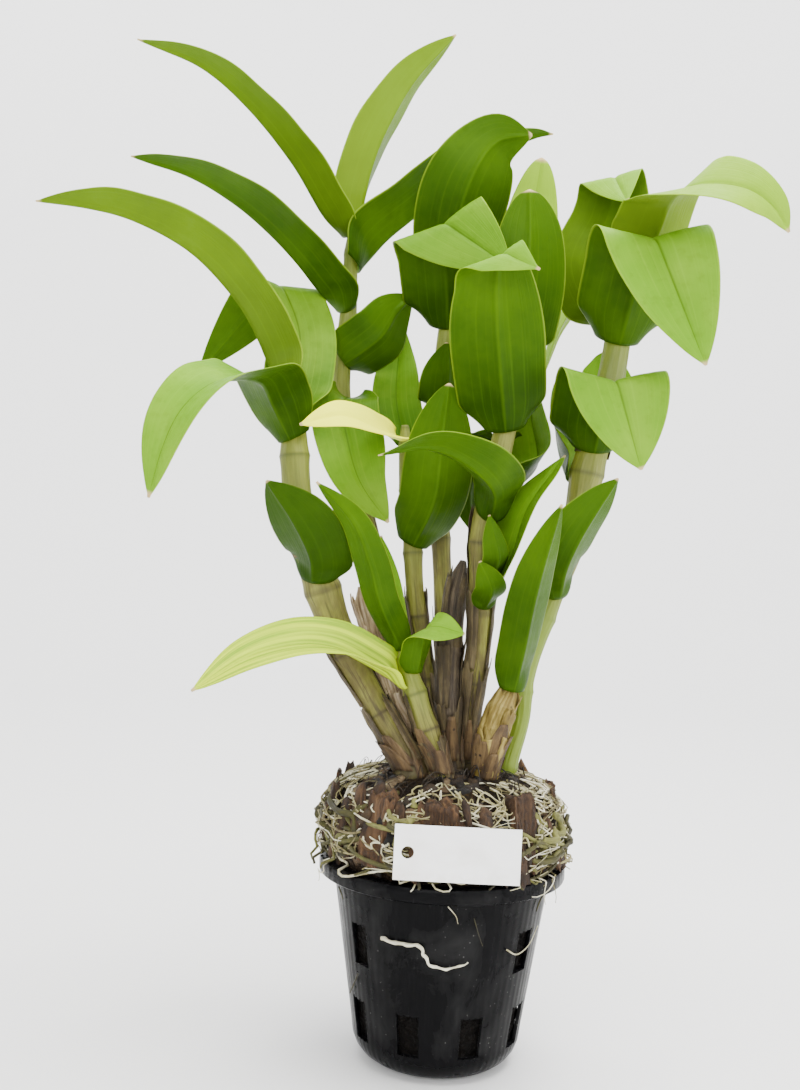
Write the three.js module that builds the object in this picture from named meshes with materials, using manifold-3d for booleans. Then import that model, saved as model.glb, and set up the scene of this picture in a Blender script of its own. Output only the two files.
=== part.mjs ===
// Potted dendrobium orchid: a plain black slotted pot, a root ball standing proud of its rim, ten canes
// and their strap leaves, with a bare plant label leaning on the roots.
// Millimetres, +Z up. The origin is the centre of the pot's foot, and the front faces -Y.
import * as THREE from 'three';
import * as BufferGeometryUtils from 'three/addons/utils/BufferGeometryUtils.js';
import Module from 'manifold-3d';

const wasm = await Module();
wasm.setup();

// Driving dimensions
const GAP = 0.3;
const POT_HEIGHT = 79;
const POT_RIM_RADIUS = 49.5;
const POT_NECK_RADIUS = 43.2;
const POT_BASE_RADIUS = 33.7;
const POT_BASE_FILLET = 12;
const POT_WALL = 1.5;
const POT_FLOOR = 2.5;
const LIP_DROP = 7;
const SLOT_WIDTH = 8.5;
const SLOT_HEIGHT = 16;
const LOWER_SLOT_BOTTOM = 11;
const UPPER_SLOT_BOTTOM = 42;
const BALL_RADIUS = 47.5;
const BALL_TOP = 115;
const CANE_SINK = 14;
const CANE_SAMPLES = 200;
const LEAF_THICKNESS = 1.0;
const NARROW_LEAF = 11.6;
const LABEL = { width: 46, height: 20, thickness: 0.8, hole: 2.5 };

const COLOURS = {
  pot: 0x17181b,
  ball: 0x3a2f22,
  bark: 0x6b4630,
  oliveRoot: 0x7d7a45,
  paleRoot: 0xd9d2b4,
  label: 0xf7f7f4,
  cane: 0x8a8738,
  dryCane: 0x9c8a6c,
  leaf: 0x5f9420,
  paleLeaf: 0xdfe08a,
};

// Each cane: points on its axis from the root ball upwards, with the radius at each one.
const CANES = {
  front_left: { at: [[-14, -14, 115], [-30, -12, 142], [-42, -12, 162], [-50, -14, 181], [-55, -15, 195],
    [-62, -16, 216], [-65, -16, 240], [-67, -14, 266]], radius: [6.5, 5.2, 6.6, 7.2, 6.8, 6.2, 5.4, 4] },
  rear_left: { at: [[-10, 13, 115], [-17, 14, 144], [-27, 16, 181], [-39, 19, 223], [-49, 20, 265],
    [-48, 21, 304], [-48, 22, 341]], radius: [4.6, 4.4, 4.4, 4.2, 3.8, 3.6, 2.6] },
  front_short: { at: [[-2, -17, 115], [-9, -15, 133], [-14, -14, 147], [-20, -13, 164]],
    radius: [4.4, 4.8, 4.4, 3.4] },
  papery_stub: { at: [[-12, 0, 115], [-17, -2, 132], [-23, -4, 142], [-30, -4, 162], [-35, -4, 178],
    [-37, -4, 187]], radius: [3.6, 3.4, 3.2, 3.4, 3.4, 2.6], dry: true },
  middle: { at: [[-3, 2, 115], [-8, 3, 142], [-12, 4, 166], [-15, 4, 186], [-17, 5, 207], [-20, 5, 231],
    [-22, 6, 254]], radius: [4, 4, 3.8, 3.8, 3.8, 3.4, 2.8] },
  dry_old: { at: [[3, -8, 115], [1, -6, 129], [0, -6, 143], [0, -4, 163], [1, -2, 183], [4, 0, 199]],
    radius: [4, 3.8, 4.6, 4.2, 4, 2.8], dry: true },
  centre_right: { at: [[9, 1, 115], [9, -2, 135], [10, -5, 151], [11, -7, 167], [11, -9, 184], [10, -11, 208],
    [14, -12, 232], [18, -12, 252], [21, -4, 285]], radius: [4.2, 4, 4.2, 4.6, 4.8, 4.4, 5, 4.6, 3] },
  rear_centre: { at: [[0, 14, 115], [0, 17, 149], [-3, 20, 186], [-6, 22, 225], [-8, 22, 259],
    [-6, 20, 293], [-3, 20, 326]], radius: [4.4, 4.2, 4.2, 4, 4, 3.8, 2.8] },
  right_tall: { at: [[25, 2, 115], [30, 2, 135], [31, 2, 151], [35, 2, 168], [41, 2, 187], [49, 2, 213],
    [54, 2, 240], [60, 2, 267], [64, 2, 292], [67, 2, 319]],
    radius: [4.2, 3.8, 3.8, 4.4, 5.2, 6.2, 6.6, 6.2, 5.4, 3.8] },
  new_shoot: { at: [[15, -14, 115], [17, -16, 129], [20, -18, 141], [24, -19, 150]],
    radius: [4.8, 5.8, 5, 3.4] },
};

// Each leaf: the cane it clasps, the height of its foot, the compass side it leaves from (degrees from +X),
// its half width, then points on its midrib. Optional: fold and curl of the section at foot and tip, roll
// about the midrib, a straight tail past the last point, and folds over as [distance, slant, angle, radius].
const LEAVES = {
  a1: { cane: 'rear_left', z: 335, out: 180, half: 15, mid: [[-60, 14, 343], [-73, 8, 362], [-91, 0, 381],
    [-110, -8, 394], [-135, -12, 402]], fold: [60, 35], curl: [-20, -25] },
  a2: { cane: 'rear_left', z: 340, out: -35, half: 14, mid: [[-41, 19, 364], [-34, 17, 383], [-23, 16, 403],
    [-7, 14, 421]], fold: [40, 25] },
  a3: { cane: 'rear_left', z: 303, out: 180, half: 18, mid: [[-61, 11, 311], [-70, 7, 321], [-82, 3, 332],
    [-96, -1, 342], [-114, -4, 351], [-137, -6, 357]], fold: [65, 35], curl: [-20, -25] },
  a4: { cane: 'rear_left', z: 321, out: 0, half: 20, mid: [[-34, 24, 335], [-20, 28, 349], [-4, 32, 366],
    [15, 34, 379], [29, 34, 386], [38, 34, 388]], fold: [65, 30], curl: [-20, -20] },
  b1: { cane: 'front_left', z: 243, out: -100, half: 16, mid: [[-73, -27, 256], [-76, -40, 262],
    [-81, -56, 261], [-90, -68, 257], [-99, -74, 247], [-105, -75, 233], [-109, -74, 216]],
    fold: [35, 15], roll: [0, -35] },
  b2: { cane: 'front_left', z: 262, out: 200, half: 15, mid: [[-81, -20, 284], [-91, -22, 299],
    [-108, -24, 315], [-130, -24, 326], [-150, -22, 331], [-170, -20, 333]],
    fold: [85, 45], curl: [-15, -30] },
  b3: { cane: 'front_left', z: 255, out: 110, half: 15, mid: [[-67, 7, 290], [-80, 16, 320]], tail: 46,
    over: [[60, 30, 130, 5]], fold: [20, 6] },
  b4: { cane: 'front_left', z: 188, out: -110, half: 16, mid: [[-56, -28, 198], [-63, -34, 212],
    [-73, -38, 226]], fold: [40, 15] },
  b5: { cane: 'front_short', z: 163, out: 100, half: 6, mid: [[-24, 0, 176], [-27, 5, 192],
    [-30, 6, 208]] },
  c1: { cane: 'front_short', z: 149, out: 190, half: 11, mid: [[-32, -22, 157], [-46, -31, 164],
    [-60, -40, 165], [-77, -48, 160], [-95, -54, 148]], fold: [60, 20], roll: [-30, -40] },
  c2: { cane: 'front_short', z: 163, out: -90, half: 8, mid: [[-28, -27, 180], [-33, -32, 196],
    [-40, -37, 212], [-54, -41, 226]], fold: [40, 25] },
  c3: { cane: 'front_short', z: 154, out: -50, half: 8, mid: [[-12, -20, 166], [-11, -23, 177]], tail: 12,
    over: [[15, 35, 150, 4]], fold: [35, 10] },
  e1: { cane: 'middle', z: 204, out: -90, half: 16, mid: [[-9, -8, 223], [-7, -12, 247], [-5, -14, 269]],
    fold: [45, 15], blunt: 0.8 },
  e2: { cane: 'middle', z: 246, out: 90, half: 10.5, mid: [[-26, 21, 266], [-26, 32, 286], [-25, 35, 302]],
    fold: [20, 10] },
  e3: { cane: 'middle', z: 248, out: -140, half: 9, mid: [[-34, -16, 250], [-46, -33, 252],
    [-61, -42, 247]], fold: [30, 10], roll: [-30, -60], pale: true },
  e4: { cane: 'rear_left', z: 266, out: -60, half: 15, mid: [[-48, 4, 261], [-45, -3, 246], [-39, -8, 229],
    [-27, -9, 213]], fold: [20, 15] },
  e5: { cane: 'centre_right', z: 248, out: 90, half: 11, mid: [[14, 5, 249], [9, 10, 240], [6, 12, 226],
    [9, 12, 210]], fold: [10, 5], curl: [5, 5] },
  i2: { cane: 'rear_left', z: 280, out: -80, half: 14, mid: [[-34, 12, 291], [-28, 15, 302],
    [-21, 19, 311]], fold: [20, 15] },
  i3: { cane: 'rear_centre', z: 264, out: -60, half: 12, mid: [[-5, 13, 277], [-6, 11, 290]],
    fold: [20, 8] },
  h1: { cane: 'rear_centre', z: 322, out: -90, half: 20, mid: [[-3, 8, 341], [2, 2, 358], [11, 0, 371],
    [25, -4, 373]], fold: [30, 10] },
  h2: { cane: 'rear_centre', z: 296, out: -90, half: 20, mid: [[-7, 4, 311], [-11, -8, 340]], tail: 32,
    over: [[40, 25, 150, 4]], fold: [25, 6] },
  f1: { cane: 'centre_right', z: 215, out: -60, half: 14, mid: [[13, -33, 225], [2, -46, 234],
    [-13, -54, 239], [-31, -60, 235]], fold: [60, 15], roll: [-20, -40] },
  f2: { cane: 'centre_right', z: 250, out: -90, half: 19.5, mid: [[14, -28, 271], [11, -36, 292],
    [10, -42, 308], [11, -44, 318]], tail: 14, over: [[63, 28, 150, 4]], fold: [30, 10], blunt: 1.25 },
  f3: { cane: 'centre_right', z: 283, out: -90, half: 16, mid: [[24, -12, 305], [25, -13, 328],
    [24, -12, 348]], fold: [20, 8], blunt: 0.6 },
  f4: { cane: 'centre_right', z: 284, out: 90, half: 14, mid: [[26, 19, 305], [28, 28, 335],
    [33, 30, 376]], fold: [10, 5], blunt: 0.6 },
  k1: { cane: 'right_tall', z: 318.5, out: -90, half: 18, mid: [[75, -10, 331], [78, -18, 341],
    [79, -34, 342], [86, -48, 341], [98, -54, 338], [108, -54, 332], [115, -52, 323]],
    fold: [30, 10], roll: [0, 75] },
  k2: { cane: 'right_tall', z: 303, out: -165, half: 18, mid: [[52, 9, 326], [60, 13, 346], [62, 12, 361]],
    tail: 26, over: [[59, 14, 140, 4]], fold: [15, 5], roll: [50, 75] },
  k3: { cane: 'right_tall', z: 289, out: -90, half: 22, mid: [[66, -14, 305], [70, -22, 330]], tail: 58,
    over: [[37, 14, 150, 6]], fold: [30, 6] },
  k4: { cane: 'right_tall', z: 245, out: -90, half: 21, mid: [[56, -14, 259], [59, -20, 277]], tail: 36,
    over: [[26, 12, 150, 5]], fold: [30, 6] },
  k5: { cane: 'right_tall', z: 294, out: 80, half: 11, mid: [[63, 25, 305], [54, 33, 312], [44, 30, 300],
    [37, 24, 281]], roll: [0, 40] },
  k6: { cane: 'right_tall', z: 257, out: 95, half: 13, mid: [[61, 12, 270], [61, 14, 282], [60, 13, 289]],
    fold: [20, 10], blunt: 0.7 },
  g1: { cane: 'new_shoot', z: 149, out: -80, half: 12, mid: [[27, -29, 166], [29, -36, 183], [32, -42, 200],
    [37, -46, 221]], fold: [50, 45] },
  g2: { cane: 'right_tall', z: 185, out: -60, half: 15, mid: [[44, -14, 197], [48, -20, 209],
    [54, -24, 221], [61, -26, 233]], fold: [45, 20] },
  g3: { cane: 'centre_right', z: 184, out: 30, half: 12, mid: [[23, -8, 202], [29, -8, 222],
    [43, -6, 243]] },
  g4: { cane: 'centre_right', z: 190, out: -60, half: 6, mid: [[16, -22, 200], [14, -23, 209],
    [12, -24, 217]], fold: [20, 10] },
  g5: { cane: 'centre_right', z: 180, out: -80, half: 7, mid: [[14, -24, 188], [9, -26, 199]] },
  l1: { cane: 'centre_right', z: 225, out: 20, half: 14, mid: [[33, 6, 240], [31, 12, 259], [30, 14, 278]] },
  l2: { cane: 'right_tall', z: 234, out: 150, half: 13, mid: [[43, 17, 251], [41, 20, 276]] },
};

const UP = new THREE.Vector3(0, 0, 1);
const degrees = THREE.MathUtils.degToRad;
const object = new THREE.Group();
object.name = 'potted_dendrobium_orchid';

function material(colour, roughness) {
  return new THREE.MeshStandardMaterial({ color: colour, roughness, metalness: 0 });
}

function addPiece(name, geometry, surface) {
  const mesh = new THREE.Mesh(geometry, surface);
  mesh.name = name;
  object.add(mesh);
}

// Solids and meshes

function toSolid(geometry) {
  const bare = geometry.index ? geometry.clone() : geometry;
  bare.deleteAttribute('normal');
  bare.deleteAttribute('uv');
  const merged = BufferGeometryUtils.mergeVertices(bare, 1e-5);
  const mesh = new wasm.Mesh({
    numProp: 3,
    vertProperties: new Float32Array(merged.attributes.position.array),
    triVerts: new Uint32Array(merged.index.array),
  });
  return new wasm.Manifold(mesh);
}

function toGeometry(solid) {
  const mesh = solid.getMesh();
  const geometry = new THREE.BufferGeometry();
  geometry.setAttribute('position', new THREE.BufferAttribute(new Float32Array(mesh.vertProperties), 3));
  geometry.setIndex(new THREE.BufferAttribute(new Uint32Array(mesh.triVerts), 1));
  return geometry;
}

// The largest connected body of a solid, so that a cut leaves no loose scrap.
function mainBody(solid) {
  const bodies = solid.decompose();
  bodies.sort((one, other) => other.volume() - one.volume());
  return bodies[0];
}

function fuse(solids) {
  return solids.reduce((whole, solid) => whole.add(solid));
}

// A closed mesh from rings of points; every ring has the same number of points.
function closedRings(rings) {
  const around = rings[0].length;
  const positions = rings.flat().flatMap((point) => [point.x, point.y, point.z]);
  const indices = [];
  for (let row = 0; row + 1 < rings.length; row++) {
    for (let column = 0; column < around; column++) {
      const next = (column + 1) % around;
      const low = row * around;
      const high = low + around;
      indices.push(low + column, low + next, high + next, low + column, high + next, high + column);
    }
  }
  const last = (rings.length - 1) * around;
  for (let column = 1; column + 1 < around; column++) {
    indices.push(0, column + 1, column);
    indices.push(last, last + column, last + column + 1);
  }
  const geometry = new THREE.BufferGeometry();
  geometry.setAttribute('position', new THREE.Float32BufferAttribute(positions, 3));
  geometry.setIndex(indices);
  return geometry;
}

// A round tube along a curve, with a radius for each fraction of its length.
function tube(curve, radiusAt, steps, sides, turn = 0) {
  const frames = curve.computeFrenetFrames(steps, false);
  const rings = curve.getSpacedPoints(steps).map((centre, step) => {
    const radius = radiusAt(step / steps);
    return Array.from({ length: sides }, (_, side) => {
      const angle = turn + (2 * Math.PI * side) / sides;
      return centre.clone()
        .addScaledVector(frames.normals[step], radius * Math.cos(angle))
        .addScaledVector(frames.binormals[step], radius * Math.sin(angle));
    });
  });
  return closedRings(rings);
}

function smoothCurve(points) {
  const places = points.map((point) => new THREE.Vector3(...point));
  return new THREE.CatmullRomCurve3(places, false, 'catmullrom', 0.5);
}

function stepped(values, fraction) {
  const place = fraction * (values.length - 1);
  const index = Math.min(Math.floor(place), values.length - 2);
  return THREE.MathUtils.lerp(values[index], values[index + 1], place - index);
}

function smooth(fraction) {
  const clamped = THREE.MathUtils.clamp(fraction, 0, 1);
  return clamped * clamped * (3 - 2 * clamped);
}

// Seeded random numbers between 0 and 1.
function randomFrom(seed) {
  let state = seed;
  return () => {
    state = (state * 16807) % 2147483647;
    return state / 2147483647;
  };
}

// Pot

function polar(radius, angle, z) {
  return new THREE.Vector3(radius * Math.cos(angle), radius * Math.sin(angle), z);
}

function lathe(profile, segments) {
  const points = profile.map(([radius, z]) => new THREE.Vector2(radius, z));
  return new THREE.LatheGeometry(points, segments).rotateX(Math.PI / 2);
}

// Radius of the pot's outer wall at a height, with the rounded foot below.
function potWall(z) {
  const neck = POT_HEIGHT - LIP_DROP;
  const slope = (POT_NECK_RADIUS - POT_BASE_RADIUS) / (neck - POT_BASE_FILLET);
  if (z >= POT_BASE_FILLET) {
    return POT_BASE_RADIUS + slope * (z - POT_BASE_FILLET);
  }
  const rise = 1 - z / POT_BASE_FILLET;
  return POT_BASE_RADIUS - POT_BASE_FILLET * (1 - Math.sqrt(Math.max(0, 1 - rise * rise)));
}

function potProfile() {
  const neck = POT_HEIGHT - LIP_DROP;
  const footHeights = [0, 0.6, 2, 4.5, 8, POT_BASE_FILLET];
  const outside = footHeights.map((z) => [potWall(z), z]);
  const inside = [neck, POT_BASE_FILLET, 8, 5, POT_FLOOR + 0.8].map((z) => [potWall(z) - POT_WALL, z]);
  return [
    [0, 0],
    ...outside,
    [POT_NECK_RADIUS, neck],
    [POT_RIM_RADIUS - 1, neck + 1.2],
    [POT_RIM_RADIUS, neck + 2.2],
    [POT_RIM_RADIUS, POT_HEIGHT - 0.6],
    [POT_RIM_RADIUS - 0.8, POT_HEIGHT],
    [POT_NECK_RADIUS + 0.6, POT_HEIGHT],
    [POT_NECK_RADIUS - 0.4, POT_HEIGHT - 1],
    ...inside,
    [POT_BASE_RADIUS - 9, POT_FLOOR],
    [0, POT_FLOOR],
  ];
}

function slotCutter(azimuth, bottom) {
  const depth = 14;
  const middle = bottom + SLOT_HEIGHT / 2;
  const cutter = new THREE.BoxGeometry(depth, SLOT_WIDTH, SLOT_HEIGHT);
  cutter.translate(potWall(middle), 0, middle);
  return toSolid(cutter.rotateZ(degrees(azimuth)));
}

function makePot() {
  const lowerAzimuths = Array.from({ length: 9 }, (_, slot) => -70 + 40 * slot);
  const lowerSlots = lowerAzimuths.map((azimuth) => slotCutter(azimuth, LOWER_SLOT_BOTTOM));
  const upperSlots = [-52, 52, 128, 232].map((azimuth) => slotCutter(azimuth - 90, UPPER_SLOT_BOTTOM));
  const shell = toSolid(lathe(potProfile(), 40));
  const slotted = shell.subtract(fuse([...lowerSlots, ...upperSlots]));
  addPiece('pot', toGeometry(slotted), material(COLOURS.pot, 0.45));
}

// Root ball

// Radius of the ball against height: inside the pot it keeps a gap to the wall, above the rim it bulges.
const BALL_SHOULDER = [[80.5, 0.97], [86, 1.0], [94, 1.0], [101, 0.97], [107, 0.89], [111.5, 0.74],
  [114, 0.5]];

function ballProfile(grow = 0) {
  const inPot = [4.2, 8, POT_BASE_FILLET, POT_HEIGHT - LIP_DROP].map((z) => [potWall(z) - POT_WALL - GAP, z]);
  return [
    [0, POT_FLOOR + GAP],
    [POT_BASE_RADIUS - 10, POT_FLOOR + GAP],
    ...inPot,
    [POT_NECK_RADIUS - POT_WALL - GAP, POT_HEIGHT + GAP - grow],
    ...BALL_SHOULDER.map(([z, share]) => [BALL_RADIUS * share + grow, z]),
    [0, BALL_TOP + grow],
  ];
}

// Lumps of the potting mix on the part that shows.
function lump(angle, z) {
  const shown = smooth((z - 82) / 6);
  const broad = 0.7 * Math.sin(5 * angle + z / 4) + 0.6 * Math.sin(9 * angle - z / 3);
  return shown * (broad + 0.4 * Math.sin(14 * angle + z));
}

function makeBallSolid(grow = 0) {
  const geometry = lathe(ballProfile(grow), 32);
  const position = geometry.attributes.position;
  for (let vertex = 0; vertex < position.count; vertex++) {
    const x = position.getX(vertex);
    const y = position.getY(vertex);
    const z = position.getZ(vertex);
    const radius = Math.hypot(x, y);
    if (radius > 1) {
      const stretch = (radius + lump(Math.atan2(y, x), z)) / radius;
      position.setXY(vertex, x * stretch, y * stretch);
    }
  }
  return toSolid(geometry);
}

// Radius of the ball's outer face at a height, used to lay roots and bark against it.
function ballRadius(z) {
  const rows = BALL_SHOULDER.map(([height, share]) => [height, BALL_RADIUS * share]);
  for (let row = 0; row + 1 < rows.length; row++) {
    const [low, lowRadius] = rows[row];
    const [high, highRadius] = rows[row + 1];
    if (z <= high) {
      return THREE.MathUtils.lerp(lowRadius, highRadius, Math.max(0, (z - low) / (high - low)));
    }
  }
  return rows[rows.length - 1][1];
}

// Bark: upright chunks bedded in the ball's side. Azimuth in degrees from the front, bottom, width, height.
const BARK = [[-36, 83, 13, 27], [-6, 84, 17, 25], [38, 85, 10, 26], [104, 84, 14, 24], [176, 83, 16, 26]];

function barkGeometry([azimuth, bottom, width, height], clearance) {
  const thick = 9;
  const [wide, deep, tall] = [width, thick, height].map((size) => size + 2 * clearance);
  const chunk = new THREE.BoxGeometry(wide, deep, tall, 2, 1, 3);
  const position = chunk.attributes.position;
  for (let vertex = 0; vertex < position.count; vertex++) {
    const z = position.getZ(vertex);
    const x = position.getX(vertex);
    position.setX(vertex, x * (1 - 0.12 * Math.abs(z) / height) + 0.8 * Math.sin(z / 5));
    position.setY(vertex, position.getY(vertex) + 0.6 * Math.cos(z / 6 + x / 3));
  }
  chunk.rotateX(degrees(-8)).translate(0, -BALL_RADIUS + 4.2, bottom + height / 2);
  return chunk.rotateZ(degrees(azimuth));
}

// Roots: tubes wandering over the ball's face at a set height off it.
function rootOnBall(start, climb, length, lift, radius, random) {
  const points = [];
  let angle = degrees(start - 90);
  let z = climb[0];
  const steps = 6;
  for (let step = 0; step <= steps; step++) {
    const off = ballRadius(z) + lift;
    points.push(polar(off, angle, z).toArray());
    angle += degrees((length / steps) * (0.6 + 0.8 * random()));
    z += ((climb[1] - climb[0]) / steps) * (0.5 + random());
    z = THREE.MathUtils.clamp(z, 83, 110);
  }
  return toSolid(tube(smoothCurve(points), () => radius, 9, 4));
}

function ringRoot(z, lift, radius, wave) {
  const count = 20;
  const rings = Array.from({ length: count }, (_, step) => {
    const angle = (2 * Math.PI * step) / count;
    const height = z + wave * Math.sin(3 * angle + 1);
    const centre = polar(ballRadius(height) + lift, angle, height);
    return Array.from({ length: 4 }, (_, side) => {
      const turn = (2 * Math.PI * side) / 4;
      const outward = polar(1, angle, 0).multiplyScalar(radius * Math.cos(turn));
      return centre.clone().add(outward).addScaledVector(UP, radius * Math.sin(turn));
    });
  });
  return toSolid(closedLoop(rings));
}

function closedLoop(rings) {
  const around = rings[0].length;
  const positions = rings.flat().flatMap((point) => [point.x, point.y, point.z]);
  const indices = [];
  rings.forEach((_, row) => {
    const low = row * around;
    const high = ((row + 1) % rings.length) * around;
    for (let column = 0; column < around; column++) {
      const next = (column + 1) % around;
      indices.push(low + column, high + next, low + next, low + column, high + column, high + next);
    }
  });
  const geometry = new THREE.BufferGeometry();
  geometry.setAttribute('position', new THREE.Float32BufferAttribute(positions, 3));
  geometry.setIndex(indices);
  return geometry;
}

function rootNet(seed, ringHeight, lift, radius, count) {
  const random = randomFrom(seed);
  const roots = [ringRoot(ringHeight, lift, radius, 1.5)];
  for (let root = 0; root < count; root++) {
    const start = (360 / count) * (root + 0.6 * random());
    const target = ringHeight > 95 ? 84 + 8 * random() : 100 + 9 * random();
    const sway = (random() - 0.5) * 90;
    roots.push(rootOnBall(start, [ringHeight, target], sway, lift, radius, random));
  }
  return fuse(roots);
}

// Canes

function caneCurve(name) {
  return smoothCurve(CANES[name].at);
}

// A cane with swollen joints, sunk into the root ball and grown by a clearance.
function caneGeometry(name, clearance, sides) {
  const { at, radius } = CANES[name];
  const foot = [...at[0]];
  foot[2] -= CANE_SINK;
  const curve = smoothCurve([foot, ...at]);
  const steps = at.length + 3;
  const radii = [radius[0] * 0.8, ...radius];
  return tube(curve, (share) => stepped(radii, share) + clearance, steps, sides);
}

// The axis point and radius of a cane at a height.
function caneAt(name, z) {
  const { radius } = CANES[name];
  const curve = caneCurve(name);
  const samples = curve.getPoints(CANE_SAMPLES);
  let best = 0;
  samples.forEach((point, index) => {
    if (Math.abs(point.z - z) < Math.abs(samples[best].z - z)) {
      best = index;
    }
  });
  return { axis: samples[best], radius: stepped(radius, best / CANE_SAMPLES) };
}

// Leaves

// Half width of the blade as a share of its widest, against the share of the length.
function leafOutline(share, blunt) {
  const rise = 0.6 + 0.4 * Math.sin((Math.PI / 2) * Math.min(1, share / 0.14));
  const fall = THREE.MathUtils.clamp((share - 0.35) / 0.65, 0, 1);
  return rise * Math.pow(1 - Math.pow(fall, 2.2), 0.9 * blunt);
}

function leafMidrib(leaf, foot) {
  const points = [foot, ...leaf.mid.map((point) => new THREE.Vector3(...point))];
  if (leaf.tail) {
    const last = points[points.length - 1];
    const ahead = last.clone().sub(points[points.length - 2]).normalize();
    points.push(last.clone().addScaledVector(ahead, leaf.tail / 2));
    points.push(last.clone().addScaledVector(ahead, leaf.tail));
  }
  return new THREE.CatmullRomCurve3(points, false, 'catmullrom', 0.5);
}

// Axes along the midrib: its direction, the blade's side and the face turned to the cane.
function leafFrames(leaf, curve, rows) {
  const outward = new THREE.Vector3(Math.cos(degrees(leaf.out)), Math.sin(degrees(leaf.out)), 0);
  const side = new THREE.Vector3().crossVectors(UP, outward);
  const [startRoll, endRoll] = leaf.roll ?? [0, 0];
  return curve.getSpacedPoints(rows - 1).map((centre, row) => {
    const share = row / (rows - 1);
    const along = curve.getTangentAt(share);
    side.addScaledVector(along, -side.dot(along)).normalize();
    const face = new THREE.Vector3().crossVectors(along, side);
    const roll = degrees(THREE.MathUtils.lerp(startRoll, endRoll, share));
    return {
      centre,
      along,
      side: side.clone().multiplyScalar(Math.cos(roll)).addScaledVector(face, Math.sin(roll)),
      face: face.clone().multiplyScalar(Math.cos(roll)).addScaledVector(side, -Math.sin(roll)),
    };
  });
}

// The frame at a share of the length, between its two nearest rows.
function frameAt(frames, share) {
  const place = THREE.MathUtils.clamp(share, 0, 1) * (frames.length - 1);
  const row = Math.min(Math.floor(place), frames.length - 2);
  const near = frames[row];
  const far = frames[row + 1];
  const centre = near.centre.clone().lerp(far.centre, place - row);
  const along = near.along.clone().lerp(far.along, place - row).normalize();
  return { centre, along, side: near.side.clone().lerp(far.side, place - row).normalize() };
}

// Wraps every point past a slanted line round a cylinder, away from the face turned to the cane.
function foldOver(points, frame, slant, angle, radius) {
  const lean = degrees(slant);
  const most = degrees(angle);
  const line = frame.side.clone().multiplyScalar(Math.cos(lean)).addScaledVector(frame.along, Math.sin(lean));
  const ahead = frame.along.clone().addScaledVector(line, -line.dot(frame.along)).normalize();
  const face = new THREE.Vector3().crossVectors(ahead, line);
  points.forEach((point) => {
    const offset = point.clone().sub(frame.centre);
    const past = offset.dot(ahead);
    if (past <= 0) {
      return;
    }
    const height = offset.dot(face);
    const turn = Math.min(past / radius, most);
    const rest = Math.max(past - radius * most, 0);
    point.copy(frame.centre)
      .addScaledVector(line, offset.dot(line))
      .addScaledVector(ahead, (radius + height) * Math.sin(turn) + rest * Math.cos(turn))
      .addScaledVector(face, (radius + height) * Math.cos(turn) - radius - rest * Math.sin(turn));
  });
}

// The blade's middle surface: rows along the midrib, columns from one margin to the other.
function leafSurface(leaf, rows, columns) {
  const { axis, radius } = caneAt(leaf.cane, leaf.z);
  const reach = radius + GAP + LEAF_THICKNESS * 0.6;
  const foot = axis.clone().add(new THREE.Vector3(Math.cos(degrees(leaf.out)), Math.sin(degrees(leaf.out)), 0)
    .multiplyScalar(reach));
  const curve = leafMidrib(leaf, foot);
  const frames = leafFrames(leaf, curve, rows);
  const [foldFoot, foldTip] = leaf.fold ?? [45, 12];
  const [curlFoot, curlTip] = leaf.curl ?? [10, -10];
  const clasp = Math.min(1.4, (0.6 * leaf.half) / reach);
  const points = [];
  frames.forEach((frame, row) => {
    const share = row / (rows - 1);
    const width = Math.max(leaf.half * leafOutline(share, leaf.blunt ?? 1), 0.6);
    const free = smooth(share / 0.12);
    const easing = Math.pow(share, 0.6);
    const fold = free * degrees(THREE.MathUtils.lerp(foldFoot, foldTip, easing));
    const freeCurl = degrees(THREE.MathUtils.lerp(curlFoot, curlTip, easing));
    const curl = THREE.MathUtils.lerp(clasp, freeCurl, free) || 0.001;
    for (let column = 0; column < columns; column++) {
      const across = (2 * column) / (columns - 1) - 1;
      const bend = fold + curl * Math.abs(across);
      const sideways = (width * (Math.sin(bend) - Math.sin(fold))) / curl * Math.sign(across);
      const lift = (width * (Math.cos(fold) - Math.cos(bend))) / curl;
      const point = frame.centre.clone().addScaledVector(frame.side, sideways);
      points.push(point.addScaledVector(frame.face, lift));
    }
  });
  const length = curve.getLength();
  [...(leaf.over ?? [])].reverse().forEach(([distance, slant, angle, radius]) => {
    foldOver(points, frameAt(frames, distance / length), slant, angle, radius);
  });
  return points;
}

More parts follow.
